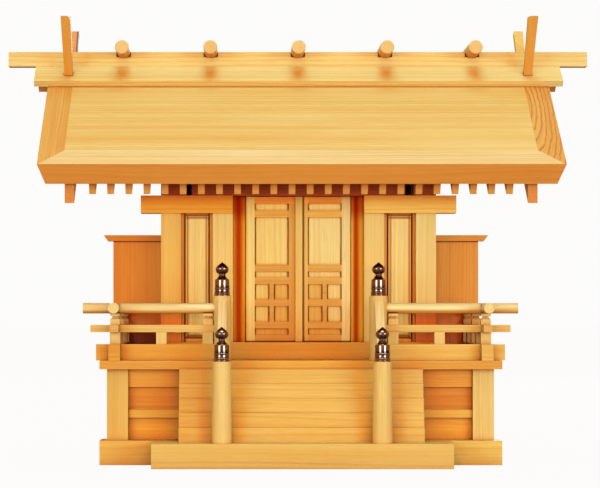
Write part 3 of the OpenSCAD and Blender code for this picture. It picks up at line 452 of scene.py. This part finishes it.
# Railing: painted shade on the bottom rails, deepest on the left, a painted highlight on the round rail, a
# slightly deeper square rail, and the side rails and struts deeper towards the back
BOTTOM_RAIL_TOP, SQUARE_RAIL_TOP, ROUND_RAIL_FOOT = 124, 141, 145
RAIL_BACK_START, RAIL_BACK_FULL = -60, 0
BOTTOM_RAIL_LEFT, BOTTOM_RAIL_RIGHT = (0.95, 0.64, 0.15), (1.0, 0.90, 0.48)
SIDE_RAIL_RIGHT = (1.0, 0.88, 0.48)
SQUARE_RAIL, ROUND_RAIL_HIGHLIGHT = (0.96, 0.87, 0.56), (1.08, 1.30, 1.55)
RAIL_BACK, STRUT_BACK = (1.0, 0.85, 0.65), (1.0, 0.72, 0.45)


def rail_tints(bottom_right):
    return (on_left(BOTTOM_RAIL_LEFT, Z_AXIS, 0, BOTTOM_RAIL_TOP),
            on_right(bottom_right, Z_AXIS, 0, BOTTOM_RAIL_TOP),
            (Z_AXIS, BOTTOM_RAIL_TOP, SQUARE_RAIL_TOP, SQUARE_RAIL),
            (Z_AXIS, ROUND_RAIL_FOOT, FAR, ROUND_RAIL_HIGHLIGHT))


BOARDS.update({
    "front_rails": dict(grain=X_AXIS, tone=PALE, pith=(64, -156), tints=rail_tints(BOTTOM_RAIL_RIGHT)),
    "side_rails": dict(grain=Y_AXIS, tone=PALE, pith=(185, -156), repeat=368,
                       tints=rail_tints(SIDE_RAIL_RIGHT),
                       fades=((Y_AXIS, RAIL_BACK_START, RAIL_BACK_FULL, RAIL_BACK),)),
    "rail_struts": dict(grain=Z_AXIS, tone=STRAW, cell=(40, 40, 0),
                        fades=((Y_AXIS, RAIL_BACK_START, RAIL_BACK_FULL, STRUT_BACK),)),
    "upper_newels": dict(grain=Z_AXIS, tone=CYPRESS, lines=0.7, corner=0.4),
    "lower_newels": dict(grain=Z_AXIS, tone=CYPRESS, lines=0.7, corner=0.4),
    "stair_handrails": dict(grain=HANDRAIL, tone=PALE),
})

# Hall: painted shade of the railing on the corner pillars and the wing screens
CORNER_PILLAR_X, PILLAR_GAP_X = 110, 100
RAIL_SHADE_START, RAIL_SHADE_FULL = 157, 147
FLOOR_SHADE_START, FLOOR_SHADE_FULL = 139, 131
BEAM_SHADE_START, BEAM_SHADE_FULL = 262, 270
GROOVES_X = (-116.7, -91.9, 91.9, 116.7)
BEVELS_X = (-113.8, -94.7, 94.7, 113.8)
TOP_BEVEL_Z, LINE_HALF = 247.6, 1.5
SLOT_SHADE_START, SLOT_SHADE_END = 113, 118
WING_TOP, WING_LINE_HALF = 227.5, 1.8
# Painted light and shade: the left pillars, beams, wing screens and wing cap deeper, and the right pillars,
# beams and wing screens paler, as the light falls
PILLAR_LEFT, PILLAR_RIGHT = (0.96, 0.80, 0.51), (0.97, 1.05, 1.21)
PILLAR_SHADE_LEFT, PILLAR_SHADE_RIGHT = (1.12, 0.68, 0.48), (0.92, 0.31, 0.115)
BEAM_LEFT, BEAM_RIGHT = (1.11, 1.15, 0.53), (1.18, 1.72, 2.8)
BEAM_SHADE = (1.0, 0.66, 0.52)
# Painted shade in the grooves round the bay panels and on the panels' bevels
GROOVE_SHADE, BEVEL_SHADE = (0.25, 0.14, 0.14), (0.80, 0.42, 0.22)
# Painted shade: a near-black stripe on the upper front wall
SLOT_SHADE = (0.1, 0.12, 0.2)
WING_LEFT, WING_RIGHT = (1.0, 0.93, 0.62), (0.99, 1.11, 1.25)
WING_SHADE_LEFT, WING_SHADE_RIGHT = (1.2, 0.86, 0.72), (1.2, 0.68, 0.54)
# Painted shade at the foot of the left wing screen, and a painted shadow of the cap along the top of the wing
# screens
WING_FOOT_LEFT = (0.36, 0.22, 0.6)
WING_CAP_SHADOW = (0.40, 0.22, 0.2)
WING_CAP_LEFT = (1.02, 0.82, 0.62)
RAIL_SHADE = (Z_AXIS, RAIL_SHADE_START, RAIL_SHADE_FULL)
BOARDS.update({
    "hall_sill": dict(grain=X_AXIS, tone=scaled(GOLD, (0.89, 0.90, 0.82))),
    "hall_pillars": dict(grain=Z_AXIS, tone=CREAM, cell=(70, 70, 0),
                         tints=((X_AXIS, -FAR, -CORNER_PILLAR_X, PILLAR_LEFT),
                                (X_AXIS, CORNER_PILLAR_X, FAR, PILLAR_RIGHT)),
                         fades=((X_AXIS, PILLAR_GAP_X, CORNER_PILLAR_X, *RAIL_SHADE, PILLAR_SHADE_RIGHT),
                                (X_AXIS, -PILLAR_GAP_X, -CORNER_PILLAR_X, *RAIL_SHADE, PILLAR_SHADE_LEFT))),
    "head_beams": dict(grain=X_AXIS, tone=DEEP, tints=(on_left(BEAM_LEFT), on_right(BEAM_RIGHT)),
                       fades=((Z_AXIS, BEAM_SHADE_START, BEAM_SHADE_FULL, BEAM_SHADE),)),
    "bay_boards": dict(grain=Z_AXIS, tone=scaled(WARM, (1.35, 1.2, 0.7)),
                       bands=tuple((X_AXIS, x, LINE_HALF, GROOVE_SHADE) for x in GROOVES_X)),
    "bay_panels": dict(grain=Z_AXIS, tone=scaled(CREAM, (1.01, 1.04, 1.10)),
                       bands=(*((X_AXIS, x, LINE_HALF, BEVEL_SHADE) for x in BEVELS_X),
                              (Z_AXIS, TOP_BEVEL_Z, LINE_HALF, BEVEL_SHADE))),
    "door_lintel": dict(grain=X_AXIS, tone=WARM),
    "upper_front_wall": dict(grain=X_AXIS, tone=OXBLOOD,
                             tints=((X_AXIS, SLOT_SHADE_START, SLOT_SHADE_END, SLOT_SHADE),)),
    "left_wall": dict(grain=Z_AXIS, tone=CYPRESS),
    "right_wall": dict(grain=Z_AXIS, tone=CYPRESS),
    "back_wall": dict(grain=Z_AXIS, tone=HONEY),
    "wing_screens": dict(grain=Z_AXIS, tone=DEEP, lines=1.1, hollow=0.3,
                         tints=(on_left(WING_LEFT), on_right(WING_RIGHT)),
                         fades=((X_AXIS, 1, -1, *RAIL_SHADE, WING_SHADE_LEFT),
                                (X_AXIS, 1, -1, Z_AXIS, FLOOR_SHADE_START, FLOOR_SHADE_FULL, WING_FOOT_LEFT),
                                (X_AXIS, -1, 1, *RAIL_SHADE, WING_SHADE_RIGHT)),
                         bands=((Z_AXIS, WING_TOP, WING_LINE_HALF, WING_CAP_SHADOW),)),
    "wing_caps": dict(grain=X_AXIS, tone=EMBER, tints=(on_left(WING_CAP_LEFT),)),
})

# Doors: pale stiles and panels, warmer rails, and painted shade in the gaps at the foot and the meeting
DOOR_CREAM = scaled(CREAM, (1.06, 1.11, 1.10))
PIVOT_STILE_X, MEETING_STILE_X, MUNTIN_X, STRIP_SIDE_X = 44.8, 9.9, 27.4, 10
SECOND_RAIL_FOOT, SECOND_RAIL_TOP, TOP_RAIL_FOOT = 245, 257, 262.8
BOTTOM_PANEL_TOP, SMALL_PANELS_TOP = 138, 184
LOW_PANELS_START, LOW_PANELS_FULL = 200, 185
TOP_PANEL_START, TOP_PANEL_FULL = 248, 256
FOOT_LINE_Z, FOOT_LINE_HALF = 120.6, 1.6
MEETING_LINE_X, MEETING_LINE_HALF = 5.2, 1.8
JAMB_TOP_START, JAMB_TOP_FULL = 243, 256
JAMB_SHADE_LEFT_X, JAMB_SHADE_LEFT_HALF = -61.2, 5.2
JAMB_SHADE_RIGHT_X, JAMB_SHADE_RIGHT_HALF = 59.6, 4.8
RAILS_LEFT, RAILS_RIGHT = (0.82, 0.55, 0.29), (0.84, 0.63, 0.38)
# Painted light on the second rails, and painted shade from the eave on the top rails
SECOND_RAIL_LEFT, SECOND_RAIL_RIGHT = (1.2, 1.3, 1.12), (1.2, 1.24, 1.1)
TOP_RAIL_SHADE = (1.36, 1.0, 0.62)
MEETING_STILE_RIGHT, PIVOT_STILE_RIGHT = (0.92, 0.78, 0.58), (0.96, 1.02, 1.4)
# Painted shade on the small inner panels, the bottom panels and the low left panels, and painted light on the
# top panels
INNER_PANELS_LEFT, INNER_PANELS_RIGHT = (0.91, 0.73, 0.45), (0.90, 0.73, 0.43)
BOTTOM_PANEL_LEFT, BOTTOM_PANEL_RIGHT = (0.94, 0.67, 0.36), (0.95, 0.71, 0.38)
LOW_PANELS_LEFT = (0.96, 0.96, 0.92)
TOP_PANEL = (1.18, 1.24, 1.25)
# Painted shade in the gaps under the doors and between them
DOOR_GAP_SHADE = (0.35, 0.18, 0.12)
# Painted shade on the jambs: the lintel's shadow at their tops and soft shadow stripes, with the right jamb
# painted paler
JAMB_RIGHT, JAMB_TOP = (1.03, 1.45, 2.4), (0.74, 0.34, 0.22)
JAMB_SHADE_LEFT, JAMB_SHADE_RIGHT = (0.54, 0.15, 0.15), (0.51, 0.11, 0.08)
SECOND_RAIL = (Z_AXIS, SECOND_RAIL_FOOT, SECOND_RAIL_TOP)
SMALL_PANELS = (Z_AXIS, BOTTOM_PANEL_TOP, SMALL_PANELS_TOP)
FOOT_LINE = (Z_AXIS, FOOT_LINE_Z, FOOT_LINE_HALF, DOOR_GAP_SHADE)
TOP_PANEL_FADE = (Z_AXIS, TOP_PANEL_START, TOP_PANEL_FULL, TOP_PANEL)
BOARDS.update({
    "door_jambs": dict(grain=Z_AXIS, tone=RUST, sheen=0.05, tints=(on_right(JAMB_RIGHT),),
                       fades=((Z_AXIS, JAMB_TOP_START, JAMB_TOP_FULL, JAMB_TOP),),
                       bands=((X_AXIS, JAMB_SHADE_LEFT_X, JAMB_SHADE_LEFT_HALF, JAMB_SHADE_LEFT),
                              (X_AXIS, JAMB_SHADE_RIGHT_X, JAMB_SHADE_RIGHT_HALF, JAMB_SHADE_RIGHT))),
    "left_door": dict(grain=Z_AXIS, tone=DOOR_CREAM, corner=0.5,
                      second=X_AXIS, second_where=between_x(-PIVOT_STILE_X, -MEETING_STILE_X),
                      tints=((X_AXIS, -PIVOT_STILE_X, STRIP_SIDE_X, RAILS_LEFT),
                             (X_AXIS, -PIVOT_STILE_X, -MEETING_STILE_X, *SECOND_RAIL, SECOND_RAIL_LEFT),
                             (X_AXIS, -PIVOT_STILE_X, STRIP_SIDE_X, Z_AXIS, TOP_RAIL_FOOT, FAR, TOP_RAIL_SHADE)),
                      bands=(FOOT_LINE,)),
    "left_door_panels": dict(grain=Z_AXIS, tone=DOOR_CREAM, lines=0.8, corner=0.5,
                             tints=((X_AXIS, -MUNTIN_X, 0, *SMALL_PANELS, INNER_PANELS_LEFT),
                                    (Z_AXIS, 0, BOTTOM_PANEL_TOP, BOTTOM_PANEL_LEFT)),
                             fades=((Z_AXIS, LOW_PANELS_START, LOW_PANELS_FULL, LOW_PANELS_LEFT),
                                    TOP_PANEL_FADE)),
    "meeting_strip": dict(grain=Z_AXIS, tone=scaled(DOOR_CREAM, (0.93, 0.88, 0.76))),
    "right_door": dict(grain=Z_AXIS, tone=DOOR_CREAM, corner=0.5,
                       second=X_AXIS, second_where=between_x(MEETING_STILE_X, PIVOT_STILE_X),
                       tints=((X_AXIS, MEETING_STILE_X, PIVOT_STILE_X, RAILS_RIGHT),
                              (X_AXIS, 0, MEETING_STILE_X, MEETING_STILE_RIGHT),
                              (X_AXIS, PIVOT_STILE_X, FAR, PIVOT_STILE_RIGHT),
                              (X_AXIS, MEETING_STILE_X, PIVOT_STILE_X, *SECOND_RAIL, SECOND_RAIL_RIGHT),
                              (X_AXIS, 0, PIVOT_STILE_X, Z_AXIS, TOP_RAIL_FOOT, FAR, TOP_RAIL_SHADE)),
                       bands=(FOOT_LINE, (X_AXIS, MEETING_LINE_X, MEETING_LINE_HALF, DOOR_GAP_SHADE))),
    "right_door_panels": dict(grain=Z_AXIS, tone=scaled(DOOR_CREAM, (0.99, 1.05, 1.3)), lines=0.8, corner=0.5,
                              tints=((X_AXIS, 0, MUNTIN_X, *SMALL_PANELS, INNER_PANELS_RIGHT),
                                     (Z_AXIS, 0, BOTTOM_PANEL_TOP, BOTTOM_PANEL_RIGHT)),
                              fades=(TOP_PANEL_FADE,)),
})

# Roof: the verge boards have bold arcs, and a painted shadow of each ridge log lies on the ridge board under
# it
RAFTER_SPACING, LOG_SPACING = 17.82, 90.3
EAVE_SHADE_START, EAVE_SHADE_FULL = 270, 277
LOG_SHADE_HALF, LOG_SHADE_PLACE, LOG_SHADE_LENGTH = 8.5, -250, 11
BACK_FINIALS_Y, DARK_SIDE_START, DARK_SIDE_END = 45, -233.6, -200
EAVE_SHADE = (0.58, 0.30, 0.26)
LOG_SHADE = (1.05, 0.70, 0.42)
VERGE_RIGHT = (1.02, 1.04, 1.14)
# Painted light and shade on the back finials: the left one deeper with a shaded right side, the right one
# paler
BACK_FINIAL_LEFT, BACK_FINIAL_RIGHT = (0.97, 0.82, 0.5), (1.07, 1.38, 1.5)
FINIAL_SIDE_SHADE = (0.45, 0.22, 0.2)
BACK_FINIALS = (Y_AXIS, BACK_FINIALS_Y, FAR)
BOARDS.update({
    "roof_beams": dict(grain=X_AXIS, tone=CYPRESS),
    "front_rafters": dict(grain=FRONT_SLOPE, tone=scaled(HONEY, (1.06, 1.06, 1.3)), under=0.4,
                          cell=(RAFTER_SPACING, 0, 0),
                          fades=((Z_AXIS, EAVE_SHADE_START, EAVE_SHADE_FULL, EAVE_SHADE),)),
    "back_rafters": dict(grain=BACK_SLOPE, tone=HONEY, under=0.4, cell=(RAFTER_SPACING, 0, 0)),
    "front_roof_board": dict(grain=X_AXIS, tone=CYPRESS, figure=0.25, lines=1.6),
    "back_roof_board": dict(grain=X_AXIS, tone=CYPRESS, figure=0.25, lines=1.6),
    "eave_boards": dict(grain=X_AXIS, tone=PALE),
    "front_verge_boards": dict(grain=FRONT_SLOPE, tone=WARM, figure=0.25, lines=1.3, pith=(-228, -302),
                               tilt=0.20, tilt_from=-205, arcs=4.2, tints=(on_right(VERGE_RIGHT),)),
    "back_verge_boards": dict(grain=BACK_SLOPE, tone=WARM, figure=0.25, lines=1.3),
    "front_bargeboards": dict(grain=FRONT_SLOPE, tone=CHESTNUT),
    "back_bargeboards": dict(grain=BACK_SLOPE, tone=CHESTNUT),
    "front_ridge_board": dict(grain=X_AXIS, tone=STRAW, under=0.15, hollow=0.3,
                              bands=tuple((X_AXIS, LOG_SPACING * log, LOG_SHADE_HALF,
                                           FRONT_SLOPE, LOG_SHADE_PLACE, LOG_SHADE_LENGTH, LOG_SHADE)
                                          for log in range(-2, 3))),
    "back_ridge_board": dict(grain=X_AXIS, tone=STRAW),
    "ridge_beam": dict(grain=X_AXIS, tone=STRAW, hollow=0.3),
    "ridge_logs": dict(grain=Y_AXIS, tone=PALE, lines=0.7, corner=0.5, hollow=0.3,
                       cell=(LOG_SPACING, 0, 0), pith=(1.5, -421.5), repeat=LOG_SPACING),
    "finials": dict(grain=FRONT_NORMAL, tone=scaled(WARM, (1.09, 1.10, 1.05)), under=0.3,
                    tints=(on_left(BACK_FINIAL_LEFT, *BACK_FINIALS),
                           (X_AXIS, DARK_SIDE_START, DARK_SIDE_END, *BACK_FINIALS, FINIAL_SIDE_SHADE),
                           on_right(BACK_FINIAL_RIGHT, *BACK_FINIALS))),
})

SEED_STEP = 0.37
for number, (name, looks) in enumerate(sorted(BOARDS.items())):
    made = wood("wood_" + name, seed=SEED_STEP * number, **looks)
    for slot in nodes_by_name[name].material_slots:
        slot.material = made

# Newel caps: turned onion bulbs on skirts with two beads, in place of the plain turned solids
CAP_HEIGHT = 33.6
LIP_R, SKIRT_R, NECK_R, BULB_R, BEAD_R, TIP_R = 8.0, 7.25, 3.1, 6.6, 0.7, 0.02
SHOULDER_R, SHOULDER_DEPTH = SKIRT_R - 0.05, 1.2
LOWER_BEAD, UPPER_BEAD = 0.085, 0.225
SHOULDER_FOOT, SHOULDER_TOP, NECK_TOP, BULB_FOOT, BULB_WIDEST = 0.46, 0.495, 0.625, 0.655, 0.80
AROUND = 96
NEWEL_X, UPPER_NEWEL, LOWER_NEWEL = 77.7, (-62.5, 167.0), (-120.5, 103.0)


def lerp(low, high, t):
    return low + (high - low) * t


def bead(share, radius):
    """Rows of a half-round bead that stands out from the skirt."""
    rows = []
    for i in range(9):
        turn = math.pi * (i / 8 - 0.5)
        rows.append((share + BEAD_R / CAP_HEIGHT * math.sin(turn), radius + BEAD_R * math.cos(turn), 0.9))
    return rows


def cap_rows():
    """Rows of a cap from the foot up: (height share, radius, worn)."""
    rows = [(0.0, LIP_R - 0.25, 0.8), (0.01, LIP_R, 0.9), (0.03, LIP_R, 0.9), (0.045, SKIRT_R + 0.35, 0.3)]
    rows += bead(LOWER_BEAD, SKIRT_R + 0.15)
    rows += [(0.11, SKIRT_R + 0.1, 0.3), (0.16, SKIRT_R + 0.05, 0.6), (0.20, SKIRT_R + 0.05, 0.3)]
    rows += bead(UPPER_BEAD, SKIRT_R)
    rows += [(0.25, SKIRT_R, 0.3), (0.33, SKIRT_R, 0.6), (SHOULDER_FOOT, SHOULDER_R, 0.6)]
    for i in range(1, 7):
        turn = math.pi / 2 * i / 6
        rows.append((lerp(SHOULDER_FOOT, SHOULDER_TOP, math.sin(turn)),
                     SHOULDER_R - SHOULDER_DEPTH * (1 - math.cos(turn)), 0.8))
    for i in range(1, 11):
        t = i / 10
        rows.append((lerp(SHOULDER_TOP, NECK_TOP, t),
                     NECK_R + (SHOULDER_R - SHOULDER_DEPTH - NECK_R) * (1 - t) ** 1.6, 0.25 + 0.3 * t))
    rows += [(0.632, NECK_R + 0.55, 0.8), (0.645, NECK_R + 0.6, 0.8), (BULB_FOOT, NECK_R + 0.1, 0.2)]
    for i in range(1, 13):
        t = 1 - i / 12
        rows.append((lerp(BULB_WIDEST, BULB_FOOT, t), NECK_R + (BULB_R - NECK_R) * math.sqrt(1 - t * t),
                     0.2 + 0.55 * (1 - t)))
    for i in range(1, 17):
        t = i / 16
        rows.append((lerp(BULB_WIDEST, 1.0, t), max(TIP_R, BULB_R * (1 - t ** 1.7) ** 1.15), 0.75 - 0.45 * t))
    return rows


def caps(name, places):
    """One piece with a turned cap at each place, and its worn share on every point."""
    verts, faces, worn = [], [], []
    rows = cap_rows()
    for px, py, pz in places:
        first = len(verts)
        for share, radius, bright in rows:
            for k in range(AROUND):
                turn = 2 * math.pi * k / AROUND
                verts.append(((px + radius * math.cos(turn)) * MM, (py + radius * math.sin(turn)) * MM,
                              (pz + share * CAP_HEIGHT) * MM))
                worn.append(bright)
        for j in range(len(rows) - 1):
            low, high = first + j * AROUND, first + (j + 1) * AROUND
            for k in range(AROUND):
                k2 = (k + 1) % AROUND
                faces.append((low + k, low + k2, high + k2, high + k))
        faces.append(tuple(first + k for k in reversed(range(AROUND))))
        faces.append(tuple(first + (len(rows) - 1) * AROUND + k for k in range(AROUND)))
    mesh = bpy.data.meshes.new(name)
    mesh.from_pydata(verts, [], faces)
    mesh.attributes.new("worn", "FLOAT", "POINT").data.foreach_set("value", worn)
    for face in mesh.polygons:
        face.use_smooth = True
    item = bpy.data.objects.new(name, mesh)
    scene.collection.objects.link(item)
    return item


cap_places = [(side * NEWEL_X, y, z) for side in (-1, 1) for y, z in (UPPER_NEWEL, LOWER_NEWEL)]
cap_piece = caps("onion_caps", cap_places)
cap_piece.data.materials.append(bronze("bronze_caps"))
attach(cap_piece, "shrine")
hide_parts("newel_caps")

# Planed edges: a hairline bevel on every board
EDGE_WIDTH, EDGE_ANGLE = 0.35, math.radians(40)
for name, item in nodes_by_name.items():
    if name in BOARDS:
        bevel = item.modifiers.new("planed_edges", "BEVEL")
        bevel.width = EDGE_WIDTH * MM
        bevel.segments = 2
        bevel.limit_method = "ANGLE"
        bevel.angle_limit = EDGE_ANGLE
        bevel.harden_normals = False

# Stage: a pale floor that looks white but keeps the shadow
FLOOR_HALF, FLOOR_DROP = 30.0, 0.0002
FLOOR_PAINT, FLOOR_GLOW, GLOW_SHARE = (0.30, 0.29, 0.28), (1.0, 0.99, 0.985), 0.97
floor_mesh = bpy.data.meshes.new("floor")
floor_corners = [(x * FLOOR_HALF, y * FLOOR_HALF, 0) for x, y in ((-1, -1), (1, -1), (1, 1), (-1, 1))]
floor_mesh.from_pydata(floor_corners, [], [(0, 1, 2, 3)])
floor = bpy.data.objects.new("floor", floor_mesh)
scene.collection.objects.link(floor)
floor.location.z = -FLOOR_DROP
white_floor, ground = new_material("white_floor")
paint = ground.node("ShaderNodeBsdfDiffuse", {"Color": rgba(FLOOR_PAINT)})
glow = ground.node("ShaderNodeEmission", {"Color": rgba(FLOOR_GLOW), "Strength": 1.0})
both = ground.node("ShaderNodeMixShader")
seen = ground.node("ShaderNodeLightPath").outputs["Is Camera Ray"]
for socket, value in zip(both.inputs, (ground.math("MULTIPLY", seen, GLOW_SHARE), paint.outputs[0],
                                       glow.outputs[0])):
    ground.feed(socket, value)
ground.node("ShaderNodeOutputMaterial", {"Surface": both.outputs[0]})
floor_mesh.materials.append(white_floor)

# World: a soft warm light all round, white where the camera sees it
ROOM_COLOR, ROOM_STRENGTH = (1.0, 0.49, 0.19), 0.72
CARD_COLOR = (0.976, 0.97, 0.964)
scene.world = bpy.data.worlds.new("studio")
scene.world.use_nodes = True
sky = Graph(scene.world.node_tree)
warm_room = sky.node("ShaderNodeBackground", {"Color": rgba(ROOM_COLOR), "Strength": ROOM_STRENGTH})
white_card = sky.node("ShaderNodeBackground", {"Color": rgba(CARD_COLOR)})
either = sky.node("ShaderNodeMixShader")
for socket, value in zip(either.inputs, (sky.node("ShaderNodeLightPath").outputs["Is Camera Ray"],
                                         warm_room.outputs[0], white_card.outputs[0])):
    sky.feed(socket, value)
sky.node("ShaderNodeOutputWorld", {"Surface": either.outputs[0]})

# Lamps: two cool ones in front and one over the roof, one behind, and a warm low fill
AIM = (0.0, -0.05, 0.2)
KEY_X, KEY_Y, KEY_SIZE = 1.80, -2.48, (1.25, 1.0)
COOL, COOLER, AMBER = (0.53, 1.0, 1.30), (0.44, 1.0, 1.38), (1.0, 0.48, 0.20)


def lamp(name, place, size, power, tint=COOL):
    data = bpy.data.lights.new(name, "AREA")
    data.shape = "RECTANGLE"
    data.size, data.size_y = size
    data.energy = power
    data.color = tint
    item = bpy.data.objects.new(name, data)
    scene.collection.objects.link(item)
    item.location = place
    item.rotation_euler = (Vector(AIM) - Vector(place)).to_track_quat("-Z", "Y").to_euler()
    return item


lamp("left_lamp", (-KEY_X, KEY_Y, 0.34), KEY_SIZE, 36.1)
lamp("right_lamp", (KEY_X, KEY_Y, 0.36), KEY_SIZE, 39.7)
lamp("top_lamp", (0.0, -0.45, 2.2), (0.9, 0.6), 17.0, COOLER)
lamp("back_lamp", (0.7, 2.6, 1.1), (1.2, 0.8), 27.0)
fill = lamp("fill_lamp", (0.0, -2.6, 0.26), (1.6, 0.3), 36.5, AMBER)
fill.visible_glossy = False

# Camera: level, in the place that the photo was taken from, with sizes in pixels of the photo
RIDGE_Y = 34.5
EYE_X, EYE_Z, EYE_DISTANCE = -60.0, 148.0, 2190.0
SENSOR_WIDTH = 36.0
FOCAL_PX, PHOTO_WIDTH_PX = 2106.0, 600.0
PRINCIPAL_X_PX, PRINCIPAL_Y_PX = 240.0, 315.0
MIDDLE_X_PX, MIDDLE_Y_PX = 300.0, 244.0
camera_data = bpy.data.cameras.new("camera")
camera_data.sensor_width = SENSOR_WIDTH
camera_data.lens = SENSOR_WIDTH * FOCAL_PX / PHOTO_WIDTH_PX
camera_data.shift_x = (MIDDLE_X_PX - PRINCIPAL_X_PX) / PHOTO_WIDTH_PX
camera_data.shift_y = (PRINCIPAL_Y_PX - MIDDLE_Y_PX) / PHOTO_WIDTH_PX
camera = bpy.data.objects.new("camera", camera_data)
scene.collection.objects.link(camera)
camera.location = (EYE_X * MM, (RIDGE_Y - EYE_DISTANCE) * MM, EYE_Z * MM)
camera.rotation_euler = (math.radians(90), 0, 0)
scene.camera = camera

scene.view_settings.view_transform = "Standard"
